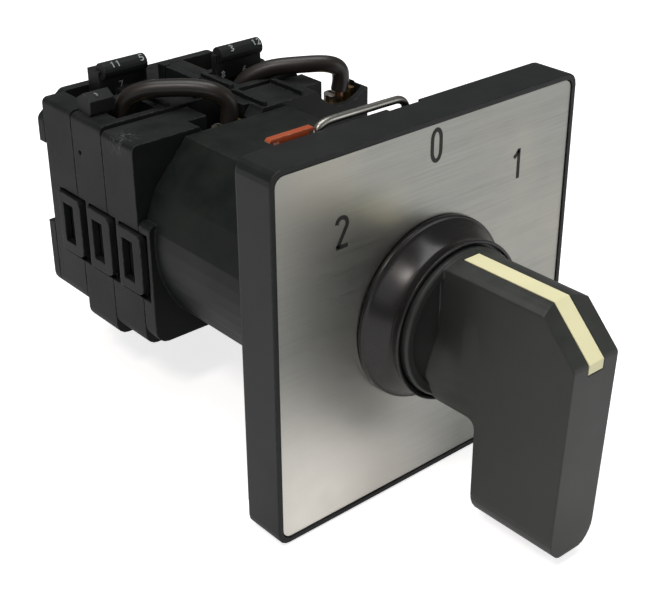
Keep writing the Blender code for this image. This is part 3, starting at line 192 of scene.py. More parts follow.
def between(tree, value, low, high, start=0.0, end=1.0):
    """The value's way from low to high, drawn out to start and end, and held there."""
    node = tree.nodes.new("ShaderNodeMapRange")
    tree.links.new(value, node.inputs["Value"])
    for label, setting in (("From Min", low), ("From Max", high), ("To Min", start), ("To Max", end)):
        if isinstance(setting, bpy.types.NodeSocket):
            tree.links.new(setting, node.inputs[label])
        else:
            node.inputs[label].default_value = setting
    return node.outputs["Result"]


def own_place(tree):
    """A point's place on its own piece, so that the pattern moves with the piece."""
    return tree.nodes.new("ShaderNodeTexCoord").outputs["Object"]


def worn_edges_group():
    """Where a sharp edge has rubbed pale, and a normal that rounds the edge off."""
    group, given, result = new_group(
        "worn_edges", [("Radius", 0.35 * mm), ("Grain", 900.0), ("Spread", 0.5)],
        [("Edge", "NodeSocketFloat"), ("Normal", "NodeSocketVector")],
    )
    rounded = group.nodes.new("ShaderNodeBevel")
    rounded.samples = 6
    group.links.new(given.outputs["Radius"], rounded.inputs["Radius"])
    plain = group.nodes.new("ShaderNodeNewGeometry")
    facing = group.nodes.new("ShaderNodeVectorMath")
    facing.operation = "DOT_PRODUCT"
    group.links.new(rounded.outputs["Normal"], facing.inputs[0])
    group.links.new(plain.outputs["Normal"], facing.inputs[1])
    turned = maths(group, "SUBTRACT", 1.0, facing.outputs["Value"], clamp=True)
    patches = noise(group, own_place(group), given.outputs["Grain"], 4.0, 0.65)
    broken = between(group, patches, 0.42, 0.66)
    strong = between(group, turned, 0.02, 0.16)
    edge = maths(group, "MULTIPLY", strong, broken)
    edge = maths(group, "MULTIPLY", edge, given.outputs["Spread"], clamp=True)
    group.links.new(edge, result.inputs["Edge"])
    group.links.new(rounded.outputs["Normal"], result.inputs["Normal"])
    return group


def settled_dust_group():
    """Dust on what faces up, in soft patches with some lint-like specks."""
    group, given, result = new_group(
        "settled_dust", [("Amount", 0.5), ("Patches", 160.0)], [("Dust", "NodeSocketFloat")]
    )
    coordinates = group.nodes.new("ShaderNodeTexCoord")
    place = coordinates.outputs["Object"]
    up = group.nodes.new("ShaderNodeSeparateXYZ")
    group.links.new(coordinates.outputs["Normal"], up.inputs[0])
    level = between(group, up.outputs["Z"], -0.2, 0.95, 0.12, 1.0)
    cloud = between(group, noise(group, place, given.outputs["Patches"], 5.0, 0.6), 0.35, 0.75)
    specks = between(group, noise(group, place, 2600.0, 2.0), 0.66, 0.74)
    both = maths(group, "ADD", cloud, maths(group, "MULTIPLY", specks, 0.8))
    dust = maths(group, "MULTIPLY", both, level)
    dust = maths(group, "MULTIPLY", dust, given.outputs["Amount"], clamp=True)
    group.links.new(dust, result.inputs["Dust"])
    return group


def moulded_skin_group():
    """The fine orange peel of moulded plastic, and slow changes of tone over the piece."""
    group, given, result = new_group(
        "moulded_skin", [("Peel", 1500.0), ("Flow", 90.0)],
        [("Height", "NodeSocketFloat"), ("Tone", "NodeSocketFloat")],
    )
    place = own_place(group)
    group.links.new(noise(group, place, given.outputs["Peel"], 3.0), result.inputs["Height"])
    group.links.new(noise(group, place, given.outputs["Flow"], 4.0), result.inputs["Tone"])
    return group


worn_edges = worn_edges_group()
settled_dust = settled_dust_group()
moulded_skin = moulded_skin_group()


def use_group(tree, group, **settings):
    """A group put to use in a material, with its inputs set by name."""
    node = tree.nodes.new("ShaderNodeGroup")
    node.node_tree = group
    for label, value in settings.items():
        node.inputs[label].default_value = value
    return node


def mixed(tree, share, first, second):
    """A colour between two, each a socket or (r, g, b)."""
    node = tree.nodes.new("ShaderNodeMix")
    node.data_type = "RGBA"
    tree.links.new(share, node.inputs["Factor"])
    for label, colour in (("A", first), ("B", second)):
        socket = [s for s in node.inputs if s.name == label and s.type == "RGBA"][0]
        if isinstance(colour, bpy.types.NodeSocket):
            tree.links.new(colour, socket)
        else:
            socket.default_value = (*colour, 1.0)
    return [s for s in node.outputs if s.type == "RGBA"][0]


def raised(tree, height, strength, depth, normal=None):
    """A bump from a height, on top of another normal."""
    node = tree.nodes.new("ShaderNodeBump")
    node.inputs["Strength"].default_value = strength
    node.inputs["Distance"].default_value = depth
    tree.links.new(height, node.inputs["Height"])
    if normal is not None:
        tree.links.new(normal, node.inputs["Normal"])
    return node.outputs["Normal"]


def moulded_plastic(
    name, colour, pale, dust_colour, roughness, dusty, worn,
    peel=0.25, radius=0.35, gloss=0.42, shade=0.72,
):
    """Moulded plastic with rounded, rubbed edges and dust where it can settle."""
    made = bpy.data.materials.new(name)
    made.use_nodes = True
    tree = made.node_tree
    shader = tree.nodes["Principled BSDF"]
    shader.inputs["Specular IOR Level"].default_value = gloss
    skin = use_group(tree, moulded_skin)
    edges = use_group(tree, worn_edges, Radius=radius * mm, Spread=worn)
    dust = use_group(tree, settled_dust, Amount=dusty)
    tone = between(tree, skin.outputs["Tone"], 0.3, 0.7)
    darker = tuple(part * shade for part in colour)
    base = mixed(tree, tone, darker, colour)
    base = mixed(tree, dust.outputs["Dust"], base, dust_colour)
    base = mixed(tree, edges.outputs["Edge"], base, pale)
    tree.links.new(base, shader.inputs["Base Color"])
    rough = between(tree, skin.outputs["Tone"], 0.25, 0.75, roughness - 0.06, roughness + 0.08)
    rough = maths(tree, "ADD", rough, maths(tree, "MULTIPLY", dust.outputs["Dust"], 0.35), clamp=True)
    tree.links.new(rough, shader.inputs["Roughness"])
    normal = raised(tree, skin.outputs["Height"], peel, 0.02 * mm, edges.outputs["Normal"])
    tree.links.new(normal, shader.inputs["Normal"])
    return made


def dress(node, material):
    """Gives a CAD node its material."""
    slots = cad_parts[node].material_slots
    for place in slots:
        place.link = "OBJECT"
        place.material = material


dust_grey = (0.13, 0.135, 0.125)
phenolic = moulded_plastic(
    "phenolic_black", colour=(0.008, 0.0115, 0.0095), pale=(0.10, 0.105, 0.10), dust_colour=dust_grey,
    roughness=0.48, dusty=0.10, worn=0.55, gloss=0.19,
)
dress("mounting_body", phenolic)

# The detent inside the neck: a star wheel of pale nylon on the shaft, and the steel leaf spring
# that drops into its notches. The ring nut in front of the neck is moulded in the same nylon.


def plain_nylon(name, colour):
    """Nylon without pigment, slightly yellowed in patches."""
    made = bpy.data.materials.new(name)
    made.use_nodes = True
    tree = made.node_tree
    shader = tree.nodes["Principled BSDF"]
    shader.inputs["Subsurface Weight"].default_value = 0.05
    shader.inputs["Subsurface Scale"].default_value = 0.5 * mm
    skin = use_group(tree, moulded_skin, Peel=900.0, Flow=140.0)
    yellowed = tuple(part * share for part, share in zip(colour, (0.88, 0.84, 0.72)))
    tree.links.new(mixed(tree, skin.outputs["Tone"], yellowed, colour), shader.inputs["Base Color"])
    tree.links.new(between(tree, skin.outputs["Tone"], 0.2, 0.8, 0.38, 0.55), shader.inputs["Roughness"])
    tree.links.new(raised(tree, skin.outputs["Height"], 0.2, 0.02 * mm), shader.inputs["Normal"])
    return made


def brushed_lines_group():
    """Fine lines along one direction, as rolling, drawing or brushing leaves on metal."""
    group, given, result = new_group(
        "brushed_lines", [("Fine", 4200.0), ("Length", 0.012)],
        [("Height", "NodeSocketFloat"), ("Tone", "NodeSocketFloat")],
    )
    apart = group.nodes.new("ShaderNodeSeparateXYZ")
    group.links.new(own_place(group), apart.inputs[0])
    drawn = group.nodes.new("ShaderNodeCombineXYZ")
    along = maths(group, "MULTIPLY", apart.outputs["X"], given.outputs["Length"])
    group.links.new(along, drawn.inputs["X"])
    group.links.new(apart.outputs["Y"], drawn.inputs["Y"])
    group.links.new(apart.outputs["Z"], drawn.inputs["Z"])
    fine = noise(group, drawn.outputs[0], given.outputs["Fine"], 4.0, 0.7)
    broad = noise(group, drawn.outputs[0], maths(group, "MULTIPLY", given.outputs["Fine"], 0.22), 3.0)
    group.links.new(fine, result.inputs["Height"])
    tone = maths(group, "ADD", maths(group, "MULTIPLY", fine, 0.6), maths(group, "MULTIPLY", broad, 0.4))
    group.links.new(tone, result.inputs["Tone"])
    return group


brushed_lines = brushed_lines_group()


def drawn_metal(name, bright, dull, smoothest, roughest, fine=2500.0, length=0.06, worn=0.0):
    """Bare metal with drawing lines, darker where it has tarnished."""
    made = bpy.data.materials.new(name)
    made.use_nodes = True
    tree = made.node_tree
    shader = tree.nodes["Principled BSDF"]
    shader.inputs["Metallic"].default_value = 1.0
    lines = use_group(tree, brushed_lines, Fine=fine, Length=length)
    skin = use_group(tree, moulded_skin, Peel=700.0, Flow=220.0)
    share = maths(tree, "MULTIPLY", between(tree, skin.outputs["Tone"], 0.35, 0.65), 0.7)
    share = maths(tree, "ADD", share, maths(tree, "MULTIPLY", lines.outputs["Tone"], 0.3), clamp=True)
    edges = use_group(tree, worn_edges, Radius=0.15 * mm, Spread=worn)
    base = mixed(tree, share, dull, bright)
    base = mixed(tree, edges.outputs["Edge"], base, bright)
    tree.links.new(base, shader.inputs["Base Color"])
    tree.links.new(between(tree, share, 0.0, 1.0, roughest, smoothest), shader.inputs["Roughness"])
    normal = raised(tree, lines.outputs["Height"], 0.15, 0.01 * mm, edges.outputs["Normal"])
    tree.links.new(normal, shader.inputs["Normal"])
    return made


nylon = plain_nylon("natural_nylon", (0.66, 0.63, 0.54))
spring_steel = drawn_metal(
    "spring_steel", bright=(0.50, 0.50, 0.48), dull=(0.27, 0.26, 0.24), smoothest=0.28, roughest=0.45
)
dress("ring_nut", nylon)
dress("detent_wheel", nylon)
dress("detent_spring", spring_steel)

# The three switching stages and their cover: black phenolic boxes stacked along the shaft, and
# held to each other by snap arms on both sides. They are dustier than the neck, and the first
# stage has a scuffed upper corner on its left.
stage_black = moulded_plastic(
    "stage_black", colour=(0.0105, 0.0135, 0.0128), pale=(0.13, 0.135, 0.135), dust_colour=dust_grey,
    roughness=0.52, dusty=0.13, worn=0.7, peel=0.35, radius=0.3, gloss=0.20,
)


def patch(tree, centre, near, far):
    """A soft round patch, 1 up to the near distance and 0 from the far one, all in millimetres."""
    away = tree.nodes.new("ShaderNodeVectorMath")
    away.operation = "DISTANCE"
    tree.links.new(own_place(tree), away.inputs[0])
    away.inputs[1].default_value = Vector(centre) * mm
    return between(tree, away.outputs["Value"], near * mm, far * mm, 1.0, 0.0)


scuffed_black = stage_black.copy()
scuffed_black.name = "stage_black_scuffed"
scuff_tree = scuffed_black.node_tree
scuff_base = scuff_tree.nodes["Principled BSDF"].inputs["Base Color"]
scuff_corner = (-19.6, 42.5, 16.6)
scuff_strength = 0.75
scuff_near = patch(scuff_tree, scuff_corner, 0.6, 3.6)
scuff_grain = noise(scuff_tree, own_place(scuff_tree), 1300.0, 5.0, 0.75)
scuff_share = maths(scuff_tree, "MULTIPLY", scuff_near, between(scuff_tree, scuff_grain, 0.50, 0.66))
scuff_share = maths(scuff_tree, "MULTIPLY", scuff_share, scuff_strength)
clean_colour = scuff_base.links[0].from_socket
scuff_tree.links.new(mixed(scuff_tree, scuff_share, clean_colour, (0.17, 0.18, 0.20)), scuff_base)
dress("stage_housing_1", scuffed_black)
dress("stage_housing_2", stage_black)
dress("stage_housing_3", stage_black)
dress("rear_cover", stage_black)

# The small terminal numbers on the stages: pad printed in a pale ink on the hoods and bars beside
# the clamps, and duller where the ink is thin. Each is a thin layer on the black moulding.


def printed_ink(name, thick_colour, thin_colour):
    """A matt ink with small changes of tone."""
    made = bpy.data.materials.new(name)
    made.use_nodes = True
    tree = made.node_tree
    shader = tree.nodes["Principled BSDF"]
    shader.inputs["Specular IOR Level"].default_value = 0.3
    tone = use_group(tree, moulded_skin, Peel=2200.0, Flow=600.0).outputs["Tone"]
    tree.links.new(mixed(tree, tone, thick_colour, thin_colour), shader.inputs["Base Color"])
    tree.links.new(between(tree, tone, 0.3, 0.7, 0.4, 0.6), shader.inputs["Roughness"])
    return made


def printing_plane(origin, up, out):
    """Lays (across, height) on a plane through a point in millimetres. Across runs along +X."""
    def lay(across, height, ahead):
        foot = Vector((origin[0] + across, origin[1], origin[2])) * mm
        return foot + Vector(up) * height * mm + Vector(out) * ahead
    return lay


def stand_piece(name, shape, material, rounded=False):
    """Turns a drawn shape into a piece of its own, with smooth shading where it's rounded."""
    bmesh.ops.recalc_face_normals(shape, faces=shape.faces)
    for face in shape.faces:
        face.smooth = rounded
    mesh = bpy.data.meshes.new(name)
    shape.to_mesh(mesh)
    shape.free()
    if rounded:
        mesh.set_sharp_from_angle(angle=math.radians(40))
    mesh.materials.append(material)
    piece = bpy.data.objects.new(name, mesh)
    bpy.context.scene.collection.objects.link(piece)
    return piece


def printed(name, paths, width, lay, material, sunk=0.015 * mm, proud=0.03 * mm):
    """Even lines of ink along paths. A path that ends where it began is closed."""
    too_short, mitre_limit = 1e-6, 0.4
    shape = bmesh.new()
    for path in paths:
        closed = path[0] == path[-1]
        if closed:
            path = path[:-1]
        count = len(path)
        pairs = []
        for i, here in enumerate(path):
            before = path[(i - 1) % count] if closed or i > 0 else here
            after = path[(i + 1) % count] if closed or i < count - 1 else here
            arrive = Vector(here) - Vector(before)
            leave = Vector(after) - Vector(here)
            if arrive.length < too_short:
                arrive = leave
            if leave.length < too_short:
                leave = arrive
            first = Vector((-arrive.y, arrive.x)).normalized()
            second = Vector((-leave.y, leave.x)).normalized()
            side = first + second
            side = side / max(side.length_squared / 2, mitre_limit) * width / 2
            corners = []
            for edge in (side, -side):
                spot = Vector(here) + edge
                for ahead in (proud, -sunk):
                    corners.append(shape.verts.new(lay(spot.x, spot.y, ahead)))
            pairs.append(corners)
        for i in range(count if closed else count - 1):
            a, b = pairs[i], pairs[(i + 1) % count]
            for first, second in ((0, 1), (1, 3), (3, 2), (2, 0)):
                shape.faces.new((a[first], a[second], b[second], b[first]))
        if not closed:
            for end in (pairs[0], pairs[-1]):
                shape.faces.new((end[0], end[1], end[3], end[2]))
    layer = stand_piece(name, shape, material)
    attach(layer, "switch_body")


digit_rise, digit_step = 1.6, 1.5
digit_lines = {
    "1": [[(0.55, 0.0), (0.55, 1.6)], [(0.55, 1.55), (0.2, 1.2)]],
    "2": [[(0.05, 1.25), (0.5, 1.6), (0.95, 1.2), (0.0, 0.0), (1.0, 0.0)]],
    "3": [[(0.0, 1.5), (0.55, 1.6), (0.9, 1.2), (0.4, 0.88), (0.95, 0.45), (0.5, 0.0), (0.0, 0.12)]],
    "5": [[(0.95, 1.6), (0.15, 1.6), (0.1, 0.9), (0.7, 0.95), (0.95, 0.5), (0.7, 0.05), (0.0, 0.05)]],
    "6": [[(0.85, 1.55), (0.25, 1.1), (0.05, 0.5), (0.5, 0.0), (0.95, 0.45), (0.5, 0.85), (0.12, 0.62)]],
    "7": [[(0.0, 1.6), (1.0, 1.6), (0.4, 0.0)]],
    "8": [[
        (0.5, 0.85), (0.1, 1.22), (0.5, 1.6), (0.9, 1.22),
        (0.5, 0.85), (0.05, 0.42), (0.5, 0.0), (0.95, 0.42), (0.5, 0.85),
    ]],
}
pale_ink = printed_ink("pale_ink", (0.46, 0.52, 0.51), (0.20, 0.23, 0.225))
to_front, to_rear, to_top = (0.0, -1.0, 0.0), (0.0, 1.0, 0.0), (0.0, 0.0, 1.0)
bar_slant, bar_out = (0.0, 0.743, 0.669), (0.0, -0.669, 0.743)
bar_lean, bar_height = 1.01, 22.41
left_bar, right_bar = (61.0 - bar_lean, bar_height), (54.65 - bar_lean, bar_height)
left_hood, right_hood = (60.9, 18.2), (54.55, 17.6)
number_places = [
    ("1", (-18.0, 52.8, 21.02), to_rear, to_top),
    ("7", (-8.0, *left_hood), to_top, to_front),
    ("11", (-9.9, *left_bar), bar_slant, bar_out),
    ("5", (-4.0, *left_bar), bar_slant, bar_out),
    ("8", (9.6, *right_hood), to_top, to_front),
    ("6", (14.4, *right_hood), to_top, to_front),
    ("3", (11.0, *right_bar), bar_slant, bar_out),
    ("12", (16.0, *right_bar), bar_slant, bar_out),
]
digit_size, digit_stroke, digit_root = 0.72, 0.2, 0.3 * mm
for text, origin, up, out in number_places:
    strokes = []
    for place, digit in enumerate(text):
        left, low = digit_step * place, -digit_rise / 2
        for line in digit_lines[digit]:
            strokes.append([((x + left) * digit_size, (z + low) * digit_size) for x, z in line])
    on_stage = printing_plane(origin, up, out)
    printed("terminal_mark_" + text, strokes, digit_stroke, on_stage, pale_ink, digit_root)

# Inside each stage: a nylon cam on the square shaft, and on each side a nylon plunger with its
# brass bridge and a coil spring behind it.
contact_brass = drawn_metal(
    "contact_brass", bright=(0.72, 0.55, 0.25), dull=(0.36, 0.25, 0.10), smoothest=0.25, roughest=0.5,
    fine=1800.0, length=0.2, worn=0.5,
)
for stage in (1, 2, 3):
    dress("cam_%d" % stage, nylon)
    for side in ("left", "right"):
        dress("plunger_%s_%d" % (side, stage), nylon)
        dress("bridge_%s_%d" % (side, stage), contact_brass)
        dress("contact_spring_%s_%d" % (side, stage), spring_steel)

# The twelve terminals: brass strips bent up into a clamp, each with a plated steel screw. The
# lower screws are drawn in one piece with their strips.
screw_steel = drawn_metal(
    "plated_screw", bright=(0.62, 0.60, 0.54), dull=(0.34, 0.31, 0.26), smoothest=0.26, roughest=0.42,
    fine=1500.0, length=0.5, worn=0.6,
)
for number in range(1, 13):
    dress("terminal_%d" % number, contact_brass)
for number in (1, 3, 5, 7, 9, 11):
    dress("clamp_screw_%d" % number, screw_steel)

# The two jumpers: stiff copper wire in thick black insulation, bent to bridge upper terminals of
# neighbouring stages, with a short bare end down in each clamp. The insulation is smooth, slightly
# brown and rather shiny.
insulation = moulded_plastic(
    "wire_insulation", colour=(0.025, 0.0205, 0.018), pale=(0.06, 0.05, 0.045),
    dust_colour=(0.09, 0.08, 0.07), roughness=0.36, dusty=0.05, worn=0.0, peel=0.06, radius=0.1,
)
bare_copper = drawn_metal(
    "bare_copper", bright=(0.62, 0.34, 0.20), dull=(0.30, 0.16, 0.09), smoothest=0.3, roughest=0.5,
    fine=1800.0, length=0.4,
)


def smooth_run(knots, per_span):
    """Points of a curve that runs evenly through the knots."""
    padded = [knots[0] * 2 - knots[1], *knots, knots[-1] * 2 - knots[-2]]
    spots = []
    for i in range(1, len(padded) - 2):
        a, b, c, d = padded[i - 1:i + 3]
        for step in range(per_span):
            t = step / per_span
            level = 2 * b + (c - a) * t
            curved = (2 * a - 5 * b + 4 * c - d) * t ** 2 + (3 * b - a - 3 * c + d) * t ** 3
            spots.append((level + curved) / 2)
    return spots + [knots[-1]]


def round_wire(name, spots, radius, material, around=5):
    """A smooth round wire along points in metres."""
    line = bpy.data.curves.new(name, "CURVE")
    line.dimensions = "3D"
    line.bevel_depth = radius
    line.bevel_resolution = around
    line.use_fill_caps = True
    spline = line.splines.new("POLY")
    spline.points.add(len(spots) - 1)
    for point, spot in zip(spline.points, spots):
        point.co = (*spot, 1.0)
    spline.use_smooth = True
    line.materials.append(material)
    wire = bpy.data.objects.new(name, line)
    bpy.context.scene.collection.objects.link(wire)
    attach(wire, "switch_body")
    return wire


jumper_knots = {
    1: [
        (-12.6, 53.4, 14.6), (-12.6, 53.3, 16.6), (-11.6, 52.3, 19.1), (-9.3, 50.2, 20.4),
        (-6.2, 47.3, 20.8), (-3.2, 44.4, 20.8), (-0.9, 42.1, 20.2),
        (0.6, 41.0, 18.6), (0.9, 40.8, 16.8), (0.7, 40.9, 14.6),
    ],
    2: [
        (10.8, 51.6, 14.6), (11.1, 51.4, 15.6), (12.5, 50.2, 17.6), (15.5, 47.8, 19.2),
        (19.6, 44.4, 19.8), (23.3, 41.7, 19.8),
        (25.5, 40.9, 18.7), (26.0, 40.8, 16.8), (25.7, 40.9, 14.6),
    ],
}
sleeve_radius, core_radius = 1.55 * mm, 0.9 * mm
bare_end = Vector((0, 0, -1.1 * mm))
for number, knots in jumper_knots.items():
    run = smooth_run([Vector(knot) * mm for knot in knots], 10)
    sleeve = round_wire("jumper_sleeve_%d" % number, run, sleeve_radius, insulation)
    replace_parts(sleeve, "jumper_%d" % number)
    core_run = [run[0] + bare_end, *run, run[-1] + bare_end]
    round_wire("jumper_core_%d" % number, core_run, core_radius, bare_copper, 3)

# The mounting plate with its sleeve, and in front of it the square frame. Both are moulded black
# plastic, and the frame has a finer satin skin than the stages and lightly rubbed edges.
frame_black = moulded_plastic(
    "frame_satin", colour=(0.0135, 0.0155, 0.016), pale=(0.13, 0.135, 0.14),
    dust_colour=(0.10, 0.105, 0.10), roughness=0.44, dusty=0.06, worn=0.55,
    peel=0.22, radius=0.3, gloss=0.26,
)
dress("mounting_plate", stage_black)
dress("front_frame", frame_black)

# The legend plate: thin aluminium brushed across and clear-lacquered, with black printed position
# numbers, let into the frame. Its lower left carries a painted reflection of the white table, and
# the patch above that a painted dark reflection. Near the 2 it has yellowed stains.
legend_metal = bpy.data.materials.new("legend_aluminium")
legend_metal.use_nodes = True
legend_tree = legend_metal.node_tree
legend_shader = legend_tree.nodes["Principled BSDF"]
legend_shader.inputs["Metallic"].default_value = 1.0
legend_shader.inputs["Coat Weight"].default_value = 0.08
legend_shader.inputs["Coat Roughness"].default_value = 0.3
legend_shader.inputs["Anisotropic"].default_value = 0.4
legend_lines = use_group(legend_tree, brushed_lines, Fine=3000.0, Length=0.03)
legend_stain = use_group(legend_tree, moulded_skin, Peel=300.0, Flow=45.0)
line_tone = between(legend_tree, legend_lines.outputs["Tone"], 0.3, 0.7)
legend_base = mixed(legend_tree, line_tone, (0.300, 0.304, 0.286), (0.372, 0.376, 0.352))
legend_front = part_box("legend_plate")[0][1]
legend_y = legend_front / mm
# Painted reflection of the white table: the base colour turns almost white towards the lower left.
painted_table_reflection = patch(legend_tree, (-22.0, legend_y, -27.0), 4.0, 30.0)
legend_base = mixed(legend_tree, painted_table_reflection, legend_base, (0.88, 0.86, 0.80))
# Painted dark reflection: the base colour goes a quarter of the way to a darker grey round the middle of
# the left side.
painted_dark_reflection_patch = patch(legend_tree, (-28.0, legend_y, 4.0), 3.0, 20.0)
painted_dark_reflection = maths(legend_tree, "MULTIPLY", painted_dark_reflection_patch, 0.25)
legend_base = mixed(legend_tree, painted_dark_reflection, legend_base, (0.27, 0.275, 0.255))
yellow_corner = patch(legend_tree, (-24.0, legend_y, 24.0), 1.0, 14.0)
yellow_spot = patch(legend_tree, (-9.0, legend_y, 18.5), 0.5, 6.0)
yellow_share = maths(legend_tree, "ADD", yellow_corner, yellow_spot, clamp=True)
yellow_share = maths(legend_tree, "MULTIPLY", yellow_share, 0.4)
legend_base = mixed(legend_tree, yellow_share, legend_base, (0.50, 0.485, 0.42))
stain_share = between(legend_tree, legend_stain.outputs["Tone"], 0.45, 0.75, 0.0, 0.35)
legend_base = mixed(legend_tree, stain_share, legend_base, (0.50, 0.475, 0.39))
legend_rough = between(legend_tree, line_tone, 0.0, 1.0, 0.40, 0.30)
legend_normal = raised(legend_tree, legend_lines.outputs["Height"], 0.19, 0.01 * mm)
legend_tree.links.new(legend_base, legend_shader.inputs["Base Color"])
legend_tree.links.new(legend_rough, legend_shader.inputs["Roughness"])
legend_tree.links.new(legend_normal, legend_shader.inputs["Normal"])
dress("legend_plate", legend_metal)


def bend(centre, across, up, first, last, steps):
    """Points on an ellipse, with its angles in degrees."""
    spots = []
    for i in range(steps + 1):
        turn = math.radians(first + (last - first) * i / steps)
        spots.append((centre[0] + across * math.cos(turn), centre[1] + up * math.sin(turn)))
    return spots


ink = printed_ink("printed_ink", (0.006, 0.006, 0.006), (0.022, 0.022, 0.021))
on_legend = printing_plane((0.0, legend_y, 0.0), to_top, to_front)
stroke = 0.64
zero_x, zero_z, zero_half, zero_rise = 0.3, 25.8, 0.86, 2.35
zero_bow = 1.5
zero_top = bend((zero_x, zero_z + zero_rise - zero_bow), zero_half, zero_bow, 0, 180, 10)
zero_foot = bend((zero_x, zero_z - zero_rise + zero_bow), zero_half, zero_bow, 180, 360, 10)
printed("number_zero", [zero_top + zero_foot + zero_top[:1]], stroke, on_legend, ink)
one_x, one_foot, one_top = 18.05, 15.68, 20.52
one_flag = [(one_x - 0.05, one_top - 0.25), (one_x - 0.5, one_top - 0.87), (one_x - 1.05, one_top - 1.27)]
printed("number_one", [[(one_x, one_foot), (one_x, one_top)], one_flag], stroke, on_legend, ink)
two_x, two_foot, two_top, two_half, two_round = -17.5, 15.65, 20.05, 0.95, 1.0
two_bow = bend((two_x, two_top - two_round), two_half, two_round, 175, -25, 12)
two_slope = two_bow + [(two_x - two_half + 0.12, two_foot)]
two_base = [(two_x - two_half - 0.15, two_foot), (two_x + two_half + 0.1, two_foot)]
printed("number_two", [two_slope, two_base], stroke, on_legend, ink)

# The orange locking slide behind the top edge of the frame: an acetal moulding with rubbed edges
# that runs sideways in a slot. It stands a little lower and further back than its solid does.
slide_orange = moulded_plastic(
    "slide_orange", colour=(0.50, 0.085, 0.022), pale=(0.62, 0.40, 0.26),
    dust_colour=(0.40, 0.15, 0.07), roughness=0.42, dusty=0.22, worn=0.9, peel=0.2, radius=0.25,
)
slide_low, slide_high = [Vector(corner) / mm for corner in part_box("locking_slide")]
slide_top = slide_high.z - 0.68
slide_front = slide_low.y + 0.35
head_under = slide_top - 0.5
foot_left, foot_right = slide_low.x + 1.5, slide_high.x - 1.5
head_left, head_right = slide_low.x, slide_high.x - 0.6
slide_outline = [
    (foot_left, slide_low.z), (foot_right, slide_low.z), (foot_right, head_under),
    (head_right, head_under), (head_right, slide_top - 0.2), (head_right - 0.2, slide_top),
    (head_left + 0.3, slide_top), (head_left, slide_top - 0.25), (head_left, head_under),
    (foot_left, head_under),
]


def wall_between(shape, near, far):
    """Faces from each side of one closed outline to the same side of the next."""
    count = len(near)
    for j in range(count):
        k = (j + 1) % count
        shape.faces.new((near[j], near[k], far[k], far[j]))


slide_shape = bmesh.new()
slide_ends = []
for depth in (slide_front, slide_high.y):
    slide_ends.append([slide_shape.verts.new((x * mm, depth * mm, z * mm)) for x, z in slide_outline])
wall_between(slide_shape, *slide_ends)
for outline in slide_ends:
    slide_shape.faces.new(outline)
slide_bar = stand_piece("slide_low_bar", slide_shape, slide_orange)
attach(slide_bar, "slide")
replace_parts(slide_bar, "locking_slide")

# The wire bail beside the slide, which holds the front frame to the mounting plate: spring wire
# with dull plating, bent cold, with both legs down behind the frame.
bail_metal = drawn_metal(
    "bail_wire", bright=(0.46, 0.455, 0.42), dull=(0.24, 0.23, 0.205), smoothest=0.28, roughest=0.42,
    fine=900.0, length=0.1,
)
bail_low, bail_high = [Vector(corner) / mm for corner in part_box("wire_bail")]
bail_y = (bail_low.y + bail_high.y) / 2
bail_foot = bail_low.z + 0.4
bail_knots = [
    (-13.6, bail_foot), (-13.6, 27.0), (-13.9, 28.4), (-14.7, 29.2), (-14.5, 29.9),
    (-13.3, 30.35), (-11.4, 30.45), (-6.0, 30.4), (-1.0, 30.35), (0.7, 30.2),
    (1.7, 29.5), (2.1, 28.4), (2.2, 27.0), (2.2, bail_foot),
]
bail_run = smooth_run([Vector((x, bail_y, z)) * mm for x, z in bail_knots], 8)
bail_radius = 0.6 * mm
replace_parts(round_wire("bail_round", bail_run, bail_radius, bail_metal), "wire_bail")

# The collar round the foot of the handle: a black moulding that looks turned, with a thin flange
# on the legend plate, a hollow satin flank and a narrow lip round the handle's foot.
collar_black = moulded_plastic(
    "collar_satin", colour=(0.016, 0.015, 0.015), pale=(0.07, 0.07, 0.07),
    dust_colour=(0.08, 0.078, 0.07), roughness=0.25, dusty=0.05, worn=0.3, peel=0.05, radius=0.15,
)


def lathe(name, profile, material, around=144):
    """A closed ring turned about the shaft axis from (radius, place) points in metres."""
    shape = bmesh.new()
    rings = []
    for i in range(around):
        turn = 2 * math.pi * i / around
        rings.append([
            shape.verts.new((radius * math.cos(turn), place, radius * math.sin(turn)))
            for radius, place in profile
        ])
    for i in range(around):
        wall_between(shape, rings[i], rings[(i + 1) % around])
    return stand_piece(name, shape, material, rounded=True)


flange = [(13.60, -5.0), (13.60, 0.15), (14.50, 0.15), (14.60, 0.25), (14.60, 0.70)]
flange += [(14.55, 0.83), (14.46, 0.92), (14.34, 0.95), (14.22, 0.97), (14.12, 1.06)]
waist_radius, waist_ahead = 12.22, 4.56
flank_widening, flank_length, flank_steps = 1.86, 3.5, 14
lip_widening, lip_length, lip_steps = 0.42, 1.5, 8
flank_run, lip_run = [], []
for step in range(1, flank_steps + 1):
    share = step / flank_steps
    radius = waist_radius + flank_widening * (1 - share) ** 1.25
    flank_run.append((radius, waist_ahead - flank_length * (1 - share)))
for step in range(1, lip_steps + 1):
    share = step / lip_steps
    lip_run.append((waist_radius + lip_widening * share ** 1.7, waist_ahead + lip_length * share))
lip = [(12.64, 6.16), (12.58, 6.25), (12.48, 6.30), (12.20, 6.30), (12.12, 6.24), (12.10, 6.15)]
bore = [(12.10, 5.40), (11.30, 5.40), (11.30, -5.0)]
collar_points = flange + flank_run + lip_run + lip + bore
collar_profile = [(radius * mm, legend_front - ahead * mm) for radius, ahead in collar_points]
collar_turned = lathe("collar_turned", collar_profile, collar_black)
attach(collar_turned, "switch_body")
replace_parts(collar_turned, "collar")

# The pistol handle: one black moulding, round at its foot and flat in the grip, with the cream
# index stripe let in along its top. A grub screw underneath holds it to the shaft. The two hub
# flanks stand for the smooth swelling in which the flat grip runs out of the round foot.
handle_black = moulded_plastic(
    "handle_satin", colour=(0.026, 0.030, 0.0265), pale=(0.12, 0.122, 0.12),
    dust_colour=(0.12, 0.125, 0.112), roughness=0.42, dusty=0.22, worn=0.4, peel=0.16, radius=0.35,
)
dress("handle", handle_black)

